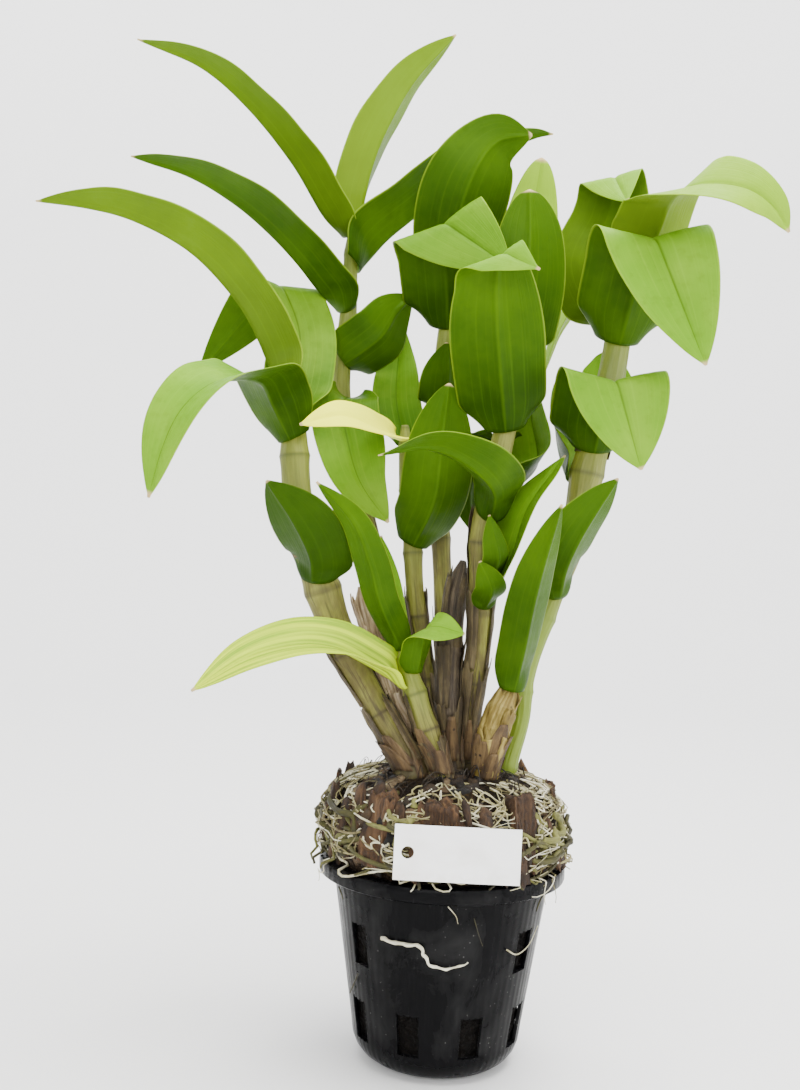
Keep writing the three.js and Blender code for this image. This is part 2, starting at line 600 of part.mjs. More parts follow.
// Both faces and the rim of a blade, split into triangles alike on the two faces.
function bladeGeometry(points, rows, columns, thickness) {
  const indices = [];
  const at = (row, column) => row * columns + column;
  for (let row = 0; row + 1 < rows; row++) {
    for (let column = 0; column + 1 < columns; column++) {
      indices.push(at(row, column), at(row, column + 1), at(row + 1, column + 1));
      indices.push(at(row, column), at(row + 1, column + 1), at(row + 1, column));
    }
  }
  const middle = new THREE.BufferGeometry().setFromPoints(points);
  middle.setIndex(indices);
  middle.computeVertexNormals();
  const normals = middle.attributes.normal;
  const positions = [];
  [0.5, -0.5].forEach((half) => {
    points.forEach((point, index) => {
      const normal = new THREE.Vector3().fromBufferAttribute(normals, index);
      positions.push(...point.clone().addScaledVector(normal, half * thickness).toArray());
    });
  });
  const count = points.length;
  const faces = [...indices];
  for (let index = 0; index < indices.length; index += 3) {
    faces.push(count + indices[index], count + indices[index + 2], count + indices[index + 1]);
  }
  const rim = [];
  for (let column = 0; column < columns; column++) {
    rim.push(at(0, column));
  }
  for (let row = 1; row < rows; row++) {
    rim.push(at(row, columns - 1));
  }
  for (let column = columns - 2; column >= 0; column--) {
    rim.push(at(rows - 1, column));
  }
  for (let row = rows - 2; row > 0; row--) {
    rim.push(at(row, 0));
  }
  rim.forEach((here, index) => {
    const next = rim[(index + 1) % rim.length];
    faces.push(here, count + here, count + next, here, count + next, next);
  });
  const geometry = new THREE.BufferGeometry();
  geometry.setAttribute('position', new THREE.Float32BufferAttribute(positions, 3));
  geometry.setIndex(faces);
  return geometry;
}

function makeLeaf(name, leaf, caneHull) {
  const rows = leaf.over ? 15 : 11;
  const columns = leaf.half < NARROW_LEAF ? 3 : 5;
  const points = leafSurface(leaf, rows, columns);
  const blade = toSolid(bladeGeometry(points, rows, columns, LEAF_THICKNESS));
  const seated = mainBody(blade.subtract(caneHull));
  addPiece(`leaf_${name}`, toGeometry(seated), material(leaf.pale ? COLOURS.paleLeaf : COLOURS.leaf, 0.5));
}

// Label: a bare card with a punched hole, leaning on the front of the root ball.
function makeLabel() {
  const { width, height, thickness, hole } = LABEL;
  const outline = new THREE.Shape();
  outline.moveTo(-width / 2, -height / 2);
  outline.lineTo(width / 2, -height / 2);
  outline.lineTo(width / 2, height / 2);
  outline.lineTo(-width / 2, height / 2);
  outline.closePath();
  const punched = new THREE.Path();
  punched.absarc(-width / 2 + 5, 0, hole, 0, 2 * Math.PI, true);
  outline.holes.push(punched);
  const sheet = { depth: thickness, bevelEnabled: false, curveSegments: 8 };
  const card = new THREE.ExtrudeGeometry(outline, sheet);
  const standing = card.rotateX(Math.PI / 2).rotateY(degrees(-0.6)).translate(3.2, -51.8, 92.6);

  addPiece('label_card', toGeometry(toSolid(standing)), material(COLOURS.label, 0.6));
}

// A loose white root lying on the pot's front.
function makeWallRoot() {
  const route = [[-24.5, 56], [-17, 55.5], [-9, 55.5], [-7, 52], [-4, 48.5], [1, 47.5], [6, 48.5], [9.5, 50]];
  const radius = 0.8;
  const points = route.map(([along, z]) => {
    const off = potWall(z) + GAP + radius + 0.2;
    return polar(off, along / off - Math.PI / 2, z).toArray();
  });
  addPiece('root_on_pot', tube(smoothCurve(points), () => radius, 20, 5), material(COLOURS.paleRoot, 0.7));
}

// Assembly

makePot();

const caneNames = Object.keys(CANES);
const caneSolids = new Map(caneNames.map((name) => [name, toSolid(caneGeometry(name, 0, 8))]));
const caneHulls = new Map(caneNames.map((name) => [name, toSolid(caneGeometry(name, GAP + 0.1, 8))]));
caneNames.forEach((name) => {
  const colour = CANES[name].dry ? COLOURS.dryCane : COLOURS.cane;
  addPiece(`cane_${name}`, toGeometry(caneSolids.get(name)), material(colour, 0.6));
});

const barkHulls = BARK.map((chunk) => toSolid(barkGeometry(chunk, GAP)));
const ball = makeBallSolid().subtract(fuse([...caneHulls.values(), ...barkHulls]));
addPiece('root_ball', toGeometry(mainBody(ball)), material(COLOURS.ball, 0.95));
BARK.forEach((chunk, index) => {
  addPiece(`bark_${index + 1}`, toGeometry(toSolid(barkGeometry(chunk, 0))), material(COLOURS.bark, 0.9));
});

const stems = fuse([...caneHulls.values()]);
const standing = makeBallSolid(GAP).add(fuse(barkHulls)).add(stems);
const oliveNet = mainBody(rootNet(11, 83.5, 3.0, 0.8, 8).subtract(standing));
const paleNet = mainBody(rootNet(29, 104, 5.2, 0.8, 9).subtract(standing));
addPiece('roots_olive', toGeometry(oliveNet), material(COLOURS.oliveRoot, 0.8));
addPiece('roots_pale', toGeometry(paleNet), material(COLOURS.paleRoot, 0.75));

makeLabel();
makeWallRoot();
Object.entries(LEAVES).forEach(([name, leaf]) => makeLeaf(name, leaf, caneHulls.get(leaf.cane)));

export default object;
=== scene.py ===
"""A potted dendrobium orchid: upright canes with strap leaves, rooted in bark in a slotted black pot."""

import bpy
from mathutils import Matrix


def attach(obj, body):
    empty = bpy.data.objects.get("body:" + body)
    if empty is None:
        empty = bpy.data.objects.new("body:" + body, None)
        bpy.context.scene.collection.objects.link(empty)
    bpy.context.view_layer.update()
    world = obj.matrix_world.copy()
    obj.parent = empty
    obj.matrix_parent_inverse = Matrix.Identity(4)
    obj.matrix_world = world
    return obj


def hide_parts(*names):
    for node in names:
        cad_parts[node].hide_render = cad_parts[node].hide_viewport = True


bl_info = {
    "name": "Potted dendrobium orchid",
    "version": (1, 0, 0),
    "blender": (4, 5, 0),
    "location": "3D View > Sidebar > Orchid",
    "description": "Pot, potting mix, roots, canes and leaves of a dendrobium orchid",
    "category": "Object",
}

import math

import bpy
import numpy as np
from bpy.props import FloatProperty, FloatVectorProperty, IntProperty, PointerProperty
from mathutils import Matrix, Vector

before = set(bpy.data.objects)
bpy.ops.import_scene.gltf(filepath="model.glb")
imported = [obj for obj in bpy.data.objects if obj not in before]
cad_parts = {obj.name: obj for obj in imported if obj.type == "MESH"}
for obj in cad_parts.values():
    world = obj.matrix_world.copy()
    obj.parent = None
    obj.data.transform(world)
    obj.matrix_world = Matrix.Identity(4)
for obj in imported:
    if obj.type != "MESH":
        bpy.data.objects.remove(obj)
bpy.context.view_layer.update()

MM = 0.001
TURN = 2 * math.pi

# Sizes of the planted pot, in millimetres, with the pot's foot at z = 0

POT_BASE = 33.7
POT_FILLET = 12.0
POT_NECK = 43.2
POT_NECK_HEIGHT = 72.0
POT_WALL = 1.5
POT_FLOOR = 2.5
LOWER_SLOTS = dict(bottom=11.0, height=16.0, half=7, azimuths=[-70 + 40 * k for k in range(9)])
UPPER_SLOTS = dict(bottom=42.0, height=16.0, half=6, azimuths=[-142, -38, 38, 142])
BALL_RADIUS = 47.5
BALL_TOP = 115.0
BALL_SHOULDER = [(80.5, 0.97), (86, 1), (94, 1), (101, 0.97), (107, 0.89), (111.5, 0.74), (114, 0.5)]
CANE_SINK = 14.0
CARD = dict(width=46.0, height=20.0, thickness=0.8, hole=2.3, centre=(3.2, -51.8, 92.6), tilt=0.6)

# Each chunk of bark: azimuth from the front in degrees, foot height, width and height in millimetres, and
# how light it is

BARK = [(-36, 83, 13, 27), (-6, 84, 17, 25), (38, 85, 10, 26), (104, 84, 14, 24), (176, 83, 16, 26)]
BARK_TONES = (0.85, 1.0, 0.45, 0.6, 0.7)
BARK_THICK = 9.0
BARK_LEAN = 8.0

# Where roots turn out over the lip, how far out they lie there, and the top of the ball they stay under

LIP_LEVEL = 80.5
LIP_OUT = 49.9
ROOT_TOP = 113.5

# A loose white root on the pot's front: distance along the wall from the front, and height

WALL_ROOT = [(-24.5, 56), (-17, 55.5), (-9, 55.5), (-7, 52), (-4, 48.5), (1, 47.5), (6, 48.5), (9.5, 50)]

# Canes: points of the axis and the radius at each, from the root ball up

CANES = {
    "front_left": dict(at=[[-14, -14, 115], [-30, -12, 142], [-42, -12, 162], [-50, -14, 181],
        [-55, -15, 195], [-62, -16, 216], [-65, -16, 240], [-67, -14, 266]], radius=[6.5, 5.2, 6.6,
        7.2, 6.8, 6.2, 5.4, 4]),
    "rear_left": dict(at=[[-10, 13, 115], [-17, 14, 144], [-27, 16, 181], [-39, 19, 223], [-49,
        20, 265], [-48, 21, 304], [-48, 22, 341]], radius=[4.6, 4.4, 4.4, 4.2, 3.8, 3.6, 2.6]),
    "front_short": dict(at=[[-2, -17, 115], [-9, -15, 133], [-14, -14, 147], [-20, -13, 164]],
        radius=[4.4, 4.8, 4.4, 3.4]),
    "papery_stub": dict(at=[[-12, 0, 115], [-17, -2, 132], [-23, -4, 142], [-30, -4, 162], [-35,
        -4, 178], [-37, -4, 187]], radius=[3.6, 3.4, 3.2, 3.4, 3.4, 2.6]),
    "middle": dict(at=[[-3, 2, 115], [-8, 3, 142], [-12, 4, 166], [-15, 4, 186], [-17, 5, 207],
        [-20, 5, 231], [-22, 6, 254]], radius=[4, 4, 3.8, 3.8, 3.8, 3.4, 2.8]),
    "dry_old": dict(at=[[3, -8, 115], [1, -6, 129], [0, -6, 143], [0, -4, 163], [1, -2, 183],
        [4, 0, 199]], radius=[4, 3.8, 4.6, 4.2, 4, 2.8]),
    "centre_right": dict(at=[[9, 1, 115], [9, -2, 135], [10, -5, 151], [11, -7, 167], [11, -9,
        184], [10, -11, 208], [14, -12, 232], [18, -12, 252], [21, -4, 285]], radius=[4.2, 4, 4.2,
        4.6, 4.8, 4.4, 5, 4.6, 3]),
    "rear_centre": dict(at=[[0, 14, 115], [0, 17, 149], [-3, 20, 186], [-6, 22, 225], [-8, 22,
        259], [-6, 20, 293], [-3, 20, 326]], radius=[4.4, 4.2, 4.2, 4, 4, 3.8, 2.8]),
    "right_tall": dict(at=[[25, 2, 115], [30, 2, 135], [31, 2, 151], [35, 2, 168], [41, 2, 187],
        [49, 2, 213], [54, 2, 240], [60, 2, 267], [64, 2, 292], [67, 2, 319]], radius=[4.2, 3.8,
        3.8, 4.4, 5.2, 6.2, 6.6, 6.2, 5.4, 3.8]),
    "new_shoot": dict(at=[[15, -14, 115], [17, -16, 129], [20, -18, 141], [24, -19, 150]],
        radius=[4.8, 5.8, 5, 3.4]),
}

# Leaves: cane, height of the foot, heading of the foot in degrees, half width, midrib points, folds

LEAVES = {
    "a1": dict(cane="rear_left", z=335, out=180, half=15, mid=[[-60, 14, 343], [-73, 8, 362],
        [-91, 0, 381], [-110, -8, 394], [-135, -12, 402]], fold=[60, 35], curl=[-20, -25]),
    "a2": dict(cane="rear_left", z=340, out=-35, half=14, mid=[[-41, 19, 364], [-34, 17, 383],
        [-23, 16, 403], [-7, 14, 421]], fold=[40, 25]),
    "a3": dict(cane="rear_left", z=303, out=180, half=18, mid=[[-61, 11, 311], [-70, 7, 321],
        [-82, 3, 332], [-96, -1, 342], [-114, -4, 351], [-137, -6, 357]], fold=[65, 35], curl=[-20,
        -25]),
    "a4": dict(cane="rear_left", z=321, out=0, half=20, mid=[[-34, 24, 335], [-20, 28, 349],
        [-4, 32, 366], [15, 34, 379], [29, 34, 386], [38, 34, 388]], fold=[65, 30], curl=[-20,
        -20]),
    "b1": dict(cane="front_left", z=243, out=-100, half=16, mid=[[-73, -27, 256], [-76, -40,
        262], [-81, -56, 261], [-90, -68, 257], [-99, -74, 247], [-105, -75, 233], [-109, -74,
        216]], fold=[35, 15], roll=[0, -35]),
    "b2": dict(cane="front_left", z=262, out=200, half=15, mid=[[-81, -20, 284], [-91, -22,
        299], [-108, -24, 315], [-130, -24, 326], [-150, -22, 331], [-170, -20, 333]], fold=[85,
        45], curl=[-15, -30]),
    "b3": dict(cane="front_left", z=255, out=110, half=15, mid=[[-67, 7, 290], [-80, 16, 320]],
        tail=46, over=[[60, 30, 130, 5]], fold=[20, 6]),
    "b4": dict(cane="front_left", z=188, out=-110, half=16, mid=[[-56, -28, 198], [-63, -34,
        212], [-73, -38, 226]], fold=[40, 15]),
    "b5": dict(cane="front_short", z=163, out=100, half=6, mid=[[-24, 0, 176], [-27, 5, 192],
        [-30, 6, 208]]),
    "c1": dict(cane="front_short", z=149, out=190, half=11, mid=[[-32, -22, 157], [-46, -31,
        164], [-60, -40, 165], [-77, -48, 160], [-95, -54, 148]], fold=[60, 20], roll=[-30, -40]),
    "c2": dict(cane="front_short", z=163, out=-90, half=8, mid=[[-28, -27, 180], [-33, -32,
        196], [-40, -37, 212], [-54, -41, 226]], fold=[40, 25]),
    "c3": dict(cane="front_short", z=154, out=-50, half=8, mid=[[-12, -20, 166], [-11, -23,
        177]], tail=12, over=[[15, 35, 150, 4]], fold=[35, 10]),
    "e1": dict(cane="middle", z=204, out=-90, half=16, mid=[[-9, -8, 223], [-7, -12, 247], [-5,
        -14, 269]], fold=[45, 15], blunt=0.8),
    "e2": dict(cane="middle", z=246, out=90, half=10.5, mid=[[-26, 21, 266], [-26, 32, 286],
        [-25, 35, 302]], fold=[20, 10]),
    "e3": dict(cane="middle", z=248, out=-140, half=9, mid=[[-34, -16, 250], [-46, -33, 252],
        [-61, -42, 247]], fold=[30, 10], roll=[-30, -60], pale=True),
    "e4": dict(cane="rear_left", z=266, out=-60, half=15, mid=[[-48, 4, 261], [-45, -3, 246],
        [-39, -8, 229], [-27, -9, 213]], fold=[20, 15]),
    "e5": dict(cane="centre_right", z=248, out=90, half=11, mid=[[14, 5, 249], [9, 10, 240], [6,
        12, 226], [9, 12, 210]], fold=[10, 5], curl=[5, 5]),
    "i2": dict(cane="rear_left", z=280, out=-80, half=14, mid=[[-34, 12, 291], [-28, 15, 302],
        [-21, 19, 311]], fold=[20, 15]),
    "i3": dict(cane="rear_centre", z=264, out=-60, half=12, mid=[[-5, 13, 277], [-6, 11, 290]],
        fold=[20, 8]),
    "h1": dict(cane="rear_centre", z=322, out=-90, half=20, mid=[[-3, 8, 341], [2, 2, 358], [11,
        0, 371], [25, -4, 373]], fold=[30, 10]),
    "h2": dict(cane="rear_centre", z=296, out=-90, half=20, mid=[[-7, 4, 311], [-11, -8, 340]],
        tail=32, over=[[40, 25, 150, 4]], fold=[25, 6]),
    "f1": dict(cane="centre_right", z=215, out=-60, half=14, mid=[[13, -33, 225], [2, -46, 234],
        [-13, -54, 239], [-31, -60, 235]], fold=[60, 15], roll=[-20, -40]),
    "f2": dict(cane="centre_right", z=250, out=-90, half=19.5, mid=[[14, -28, 271], [11, -36,
        292], [10, -42, 308], [11, -44, 318]], tail=14, over=[[63, 28, 150, 4]], fold=[30, 10],
        blunt=1.25),
    "f3": dict(cane="centre_right", z=283, out=-90, half=16, mid=[[24, -12, 305], [25, -13,
        328], [24, -12, 348]], fold=[20, 8], blunt=0.6),
    "f4": dict(cane="centre_right", z=284, out=90, half=14, mid=[[26, 19, 305], [28, 28, 335],
        [33, 30, 376]], fold=[10, 5], blunt=0.6),
    "k1": dict(cane="right_tall", z=318.5, out=-90, half=18, mid=[[75, -10, 331], [78, -18,
        341], [79, -34, 342], [86, -48, 341], [98, -54, 338], [108, -54, 332], [115, -52, 323]],
        fold=[30, 10], roll=[0, 75]),
    "k2": dict(cane="right_tall", z=303, out=-165, half=18, mid=[[52, 9, 326], [60, 13, 346],
        [62, 12, 361]], tail=26, over=[[59, 14, 140, 4]], fold=[15, 5], roll=[50, 75]),
    "k3": dict(cane="right_tall", z=289, out=-90, half=22, mid=[[66, -14, 305], [70, -22, 330]],
        tail=58, over=[[37, 14, 150, 6]], fold=[30, 6]),
    "k4": dict(cane="right_tall", z=245, out=-90, half=21, mid=[[56, -14, 259], [59, -20, 277]],
        tail=36, over=[[26, 12, 150, 5]], fold=[30, 6]),
    "k5": dict(cane="right_tall", z=294, out=80, half=11, mid=[[63, 25, 305], [54, 33, 312],
        [44, 30, 300], [37, 24, 281]], roll=[0, 40]),
    "k6": dict(cane="right_tall", z=257, out=95, half=13, mid=[[61, 12, 270], [61, 14, 282],
        [60, 13, 289]], fold=[20, 10], blunt=0.7),
    "g1": dict(cane="new_shoot", z=149, out=-80, half=12, mid=[[27, -29, 166], [29, -36, 183],
        [32, -42, 200], [37, -46, 221]], fold=[50, 45]),
    "g2": dict(cane="right_tall", z=185, out=-60, half=15, mid=[[44, -14, 197], [48, -20, 209],
        [54, -24, 221], [61, -26, 233]], fold=[45, 20]),
    "g3": dict(cane="centre_right", z=184, out=30, half=12, mid=[[23, -8, 202], [29, -8, 222],
        [43, -6, 243]]),
    "g4": dict(cane="centre_right", z=190, out=-60, half=6, mid=[[16, -22, 200], [14, -23, 209],
        [12, -24, 217]], fold=[20, 10]),
    "g5": dict(cane="centre_right", z=180, out=-80, half=7, mid=[[14, -24, 188], [9, -26,
        199]]),
    "l1": dict(cane="centre_right", z=225, out=20, half=14, mid=[[33, 6, 240], [31, 12, 259],
        [30, 14, 278]]),
    "l2": dict(cane="right_tall", z=234, out=150, half=13, mid=[[43, 17, 251], [41, 20, 276]]),
}

# Gap between a leaf's foot and the skin of its cane, and the steps in which a cane is searched for that foot

LEAF_OFF = 0.9
CANE_SAMPLES = 200

# Distance between the nodes of a cane, in millimetres

CANE_NODES = dict(front_left=27, rear_left=34, front_short=15, papery_stub=22, middle=26, dry_old=24,
                  centre_right=28, rear_centre=34, right_tall=31, new_shoot=9)

# How far a cane's lower part is bleached and husky, and how green its upper part is, from 0 to 1

CANE_AGE = dict(front_left=(0.8, 0.3), rear_left=(0.8, 0.4), front_short=(0.75, 0.4), papery_stub=(1, 0),
                middle=(0.95, 0.35), dry_old=(1, 0), centre_right=(1, 0.15), rear_centre=(0.8, 0.4),
                right_tall=(0.0, 0.5), new_shoot=(0.4, 0.1))

# How green the foot of a cane is that has shed its sheath, from 0 to 1

YOUNG_FOOT = dict(right_tall=0.85)

# Papery sleeves: cane, lower and upper share of its length, middle and half width of the wrap in degrees,
# and how far the upper edge stands off in millimetres

HUSKS = [
    ("front_left", 0.1, 0.25, -90, 150, 0.7), ("front_left", 0.26, 0.42, -60, 100, 0.4),
    ("front_left", 0.62, 0.75, -30, 110, 0.4),
    ("front_short", 0.18, 0.42, -90, 160, 0.6), ("front_short", 0.5, 0.72, -60, 110, 0.4),
    ("papery_stub", 0.2, 0.5, -90, 170, 1.5), ("papery_stub", 0.45, 0.8, -70, 150, 1.6),
    ("papery_stub", 0.72, 0.96, -100, 165, 1.8),
    ("middle", 0.12, 0.36, -90, 160, 0.6), ("middle", 0.36, 0.55, -80, 130, 0.4),
    ("dry_old", 0.15, 0.42, -90, 165, 0.9), ("dry_old", 0.4, 0.66, -60, 150, 1.1),
    ("dry_old", 0.64, 0.94, -100, 160, 1.2),
    ("centre_right", 0.1, 0.3, -90, 170, 0.8), ("centre_right", 0.3, 0.47, -70, 150, 0.7),
    ("centre_right", 0.48, 0.64, -110, 120, 0.4),
    ("rear_centre", 0.12, 0.32, -90, 160, 0.6), ("rear_left", 0.12, 0.3, -90, 160, 0.6),
    ("right_tall", 0.66, 0.78, -80, 120, 0.3),
    ("new_shoot", 0.25, 0.62, -80, 165, 0.7), ("new_shoot", 0.45, 0.82, -110, 150, 0.6),
    ("new_shoot", 0.66, 0.97, -70, 140, 0.6),
]

# Thin roots on the pot's wall: their route as for the loose white root, and their radius in millimetres

WALL_ROOTLETS = [
    ([(26, 53), (32, 50), (40, 52), (47, 58)], 0.3),
    ([(1, 71.5), (4, 68), (5, 65)], 0.22),
]
DARK_ROOTLETS = [
    ([(11, 67), (13, 61), (15, 56)], 0.22),
    ([(-37, 38), (-40, 33), (-45, 27)], 0.35),
    ([(49, 71.5), (45, 68.5), (43, 65)], 0.45),
    ([(-52, 69.5), (-49, 67), (-48, 65.5)], 0.4),
]

# Leaves that differ from the rest: how little painted shade darkens them (1 for none), how much painted light
# brightens them, how variegated

LEAF_TONES = dict(
    a1=(1.0, 0.14, 0.0), a2=(1.0, 0.3, 0.0), a3=(0.95, 0.0, 0.0), b2=(1.0, 0.15, 0.0), c1=(1.0, 0.4, 0.85),
    h1=(0.95, 0.0, 0.0), h2=(0.75, 0.0, 0.0), e3=(1.0, 0.7, 0.0), f4=(1.0, 0.5, 0.0), k5=(1.0, 0.45, 0.0),
    k1=(1.0, 0.36, 0.0), k2=(1.0, 0.1, 0.0), c2=(0.9, 0.0, 0.0), b4=(0.4, 0.0, 0.0), g1=(0.75, 0.0, 0.0),
    g2=(0.85, 0.0, 0.0), e5=(0.4, 0.0, 0.0), e1=(0.85, 0.0, 0.0), e2=(0.7, 0.0, 0.0), e4=(0.7, 0.0, 0.0),
    i2=(0.85, 0.0, 0.0), i3=(0.7, 0.0, 0.0), l1=(0.5, 0.0, 0.0), l2=(0.6, 0.0, 0.0), f1=(0.85, 0.0, 0.0),
    k4=(0.9, 0.0, 0.0), g3=(0.8, 0.0, 0.0), g4=(0.9, 0.0, 0.0), g5=(0.85, 0.0, 0.0),
)


# Meshes

class Grown:
    """A mesh in the making: points, faces, a place on the surface for each point, and named values."""

    def __init__(self):
        self.points, self.faces, self.across, self.values, self.count = [], [], [], {}, 0

    def add(self, points, faces, across=None, **values):
        """Adds points of shape (n, 3) in millimetres and index arrays with 3 or 4 columns."""
        points = np.asarray(points, float).reshape(-1, 3)
        size = len(points)
        self.points.append(points)
        self.faces += [np.asarray(part) + self.count for part in faces if len(part)]
        self.across.append(np.zeros((size, 2)) if across is None else np.asarray(across, float).reshape(-1, 2))
        for name, value in values.items():
            self.values.setdefault(name, []).append(np.broadcast_to(np.asarray(value, float).ravel(), (size,)))
        self.count += size

    def piece(self, name, material, slot, *nodes, sharp=None):
        """The finished object, which rides on the pot's body and stands for the nodes it replaces."""
        points = np.concatenate(self.points) * MM
        mesh = bpy.data.meshes.new(name)
        loops = np.concatenate([part.ravel() for part in self.faces])
        totals = np.concatenate([np.full(len(part), part.shape[1]) for part in self.faces])
        mesh.vertices.add(len(points))
        mesh.vertices.foreach_set("co", points.ravel())
        mesh.loops.add(len(loops))
        mesh.loops.foreach_set("vertex_index", loops.astype(np.int32))
        mesh.polygons.add(len(totals))
        mesh.polygons.foreach_set("loop_start", (np.cumsum(totals) - totals).astype(np.int32))
        mesh.update(calc_edges=True)
        layer = mesh.uv_layers.new(name="along")
        layer.uv.foreach_set("vector", np.concatenate(self.across)[loops].ravel())
        for label, parts in self.values.items():
            mesh.attributes.new(label, "FLOAT", "POINT").data.foreach_set("value", np.concatenate(parts))
        mesh.shade_smooth()
        if sharp is not None:
            mesh.set_sharp_from_angle(angle=math.radians(sharp))
        mesh.validate()
        mesh.materials.append(material)
        thing = bpy.data.objects.new(name, mesh)
        bpy.context.collection.objects.link(thing)
        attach(thing, "root")
        if nodes:
            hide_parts(*nodes)
        return thing


def grid_faces(rows, columns, closed):
    """Quads between neighbouring rows and columns of a grid, joined round at the last column if closed."""
    row = np.arange(rows - 1)[:, None]
    column = np.arange(columns if closed else columns - 1)[None, :]
    following = (column + 1) % columns
    corners = (row * columns + column, row * columns + following,
               (row + 1) * columns + following, (row + 1) * columns + column)
    return np.stack([np.broadcast_to(corner, (rows - 1, column.size)) for corner in corners], -1).reshape(-1, 4)


def capped_tube(rows, columns):
    """Faces of a tube whose last two points are the poles that close its first and last row."""
    ring = np.arange(columns)
    after = (ring + 1) % columns
    last = (rows - 1) * columns
    foot, tip = rows * columns, rows * columns + 1
    start = np.stack([after, ring, np.full(columns, foot)], 1)
    end = np.stack([last + ring, last + after, np.full(columns, tip)], 1)
    return [grid_faces(rows, columns, True), start, end]


def spline(points, place):
    """A smooth curve through the given points, read at places counted in spans from the first point.

    In each span it is the cubic that leaves a point in the direction between its two neighbours."""
    points = np.asarray(points, float)
    padded = np.vstack([2 * points[0] - points[1], points, 2 * points[-1] - points[-2]])
    span = np.minimum(place.astype(int), len(points) - 2)
    part = (place - span)[:, None]
    before, start, end, after = (padded[span + step] for step in range(4))
    return start + 0.5 * part * ((end - before) + part * ((2 * before - 5 * start + 4 * end - after)
                                                         + part * (3 * start - before - 3 * end + after)))


def smooth_path(points, count):
    """Points at even distances on that curve, and each one's share of the spans."""
    place = np.linspace(0, len(points) - 1, 60 * (len(points) - 1) + 1)
    curve = spline(points, place)
    travelled = np.concatenate([[0], np.cumsum(np.linalg.norm(np.diff(curve, axis=0), axis=1))])
    even = np.linspace(0, travelled[-1], count)
    return read_off(even, travelled, curve), np.interp(even, travelled, place / (len(points) - 1))


def read_off(place, known, points):
    """Points in between those given at the known places, in straight lines."""
    return np.stack([np.interp(place, known, points[:, axis]) for axis in range(3)], -1)


def round_axis(radius, turn, height):
    """Points at these radii and turns round the upright axis, at these heights."""
    return np.stack(np.broadcast_arrays(radius * np.cos(turn), radius * np.sin(turn), height), -1)


def pairs(first, second):
    """Two arrays of one joint shape as a list of pairs."""
    return np.stack(np.broadcast_arrays(first, second), -1).reshape(-1, 2)


def unit(vectors):
    """Vectors along the last axis, brought to length one."""
    return vectors / np.maximum(np.linalg.norm(vectors, axis=-1, keepdims=True), 1e-9)


def ease(value):
    """0 below 0, 1 above 1, and 3v² - 2v³ between."""
    value = np.clip(value, 0, 1)
    return value * value * (3 - 2 * value)


def mixed(start, end, share):
    """start at share 0 and end at share 1, in a straight line between. The share may be a reading."""
    return start + (end - start) * share


def wavy(x, y, z, scale, seed):
    """A smooth random field near ±1: the mean of eight sines of seeded directions and phases."""
    chance = np.random.default_rng(seed)
    total = 0
    for _ in range(8):
        direction = chance.normal(size=3)
        total = total + np.sin((direction[0] * x + direction[1] * y + direction[2] * z) * TURN / scale / 1.6
                               + chance.uniform(0, TURN))
    return total / 2.83


def strands(paths, radii, sides, grown, **values):
    """Adds many closed tubes at once: paths of shape (strand, row, 3), radii of shape (strand, row).

    Each row's ring is the path's point plus its radius times the cosine and sine of the turn along two
    directions square to the path; the first is carried on from row to row."""
    count, rows, _ = paths.shape
    along = unit(np.gradient(paths, axis=1))
    first = unit(np.cross(along[:, 0], np.array([0.31, 0.52, 0.79])))
    firsts = np.empty_like(paths)
    for row in range(rows):
        first = unit(first - along[:, row] * np.sum(first * along[:, row], -1, keepdims=True))
        firsts[:, row] = first
    seconds = np.cross(along, firsts)
    turn = TURN * np.arange(sides) / sides
    ring = (firsts[:, :, None] * np.cos(turn)[:, None] + seconds[:, :, None] * np.sin(turn)[:, None])
    points = paths[:, :, None] + ring * radii[:, :, None, None]
    body = points.reshape(count, rows * sides, 3)
    ends = np.stack([paths[:, 0] - along[:, 0] * radii[:, :1] * 0.5,
                     paths[:, -1] + along[:, -1] * radii[:, -1:] * 0.5], 1)
    size = rows * sides + 2
    everything = np.concatenate([body, ends], 1)
    offset = (np.arange(count) * size)[:, None, None]
    faces = [(part[None] + offset).reshape(-1, part.shape[1]) for part in capped_tube(rows, sides)]
    across = pairs(np.arange(sides) / sides, np.linspace(0, 1, rows)[:, None])
    across = np.vstack([across, [[0, 0], [0, 1]]])
    spread = {name: np.repeat(np.asarray(value, float), size) for name, value in values.items()}
    grown.add(everything, faces, np.tile(across, (count, 1)), **spread)


# Finishes

class Reading:
    """A number, colour or place that changes over a surface, from one socket of a material."""

    def __init__(self, finish, socket):
        self.finish, self.socket = finish, socket

    def _maths(self, operation, *values):
        return self.finish.node("ShaderNodeMath", dict(operation=operation), values)

    def __add__(self, other):
        return self._maths("ADD", self, other)

    def __sub__(self, other):
        return self._maths("SUBTRACT", self, other)

    def __rsub__(self, other):
        return self._maths("SUBTRACT", other, self)

    def __mul__(self, other):
        return self._maths("MULTIPLY", self, other)

    def __abs__(self):
        return self._maths("ABSOLUTE", self)

    __radd__ = __add__
    __rmul__ = __mul__


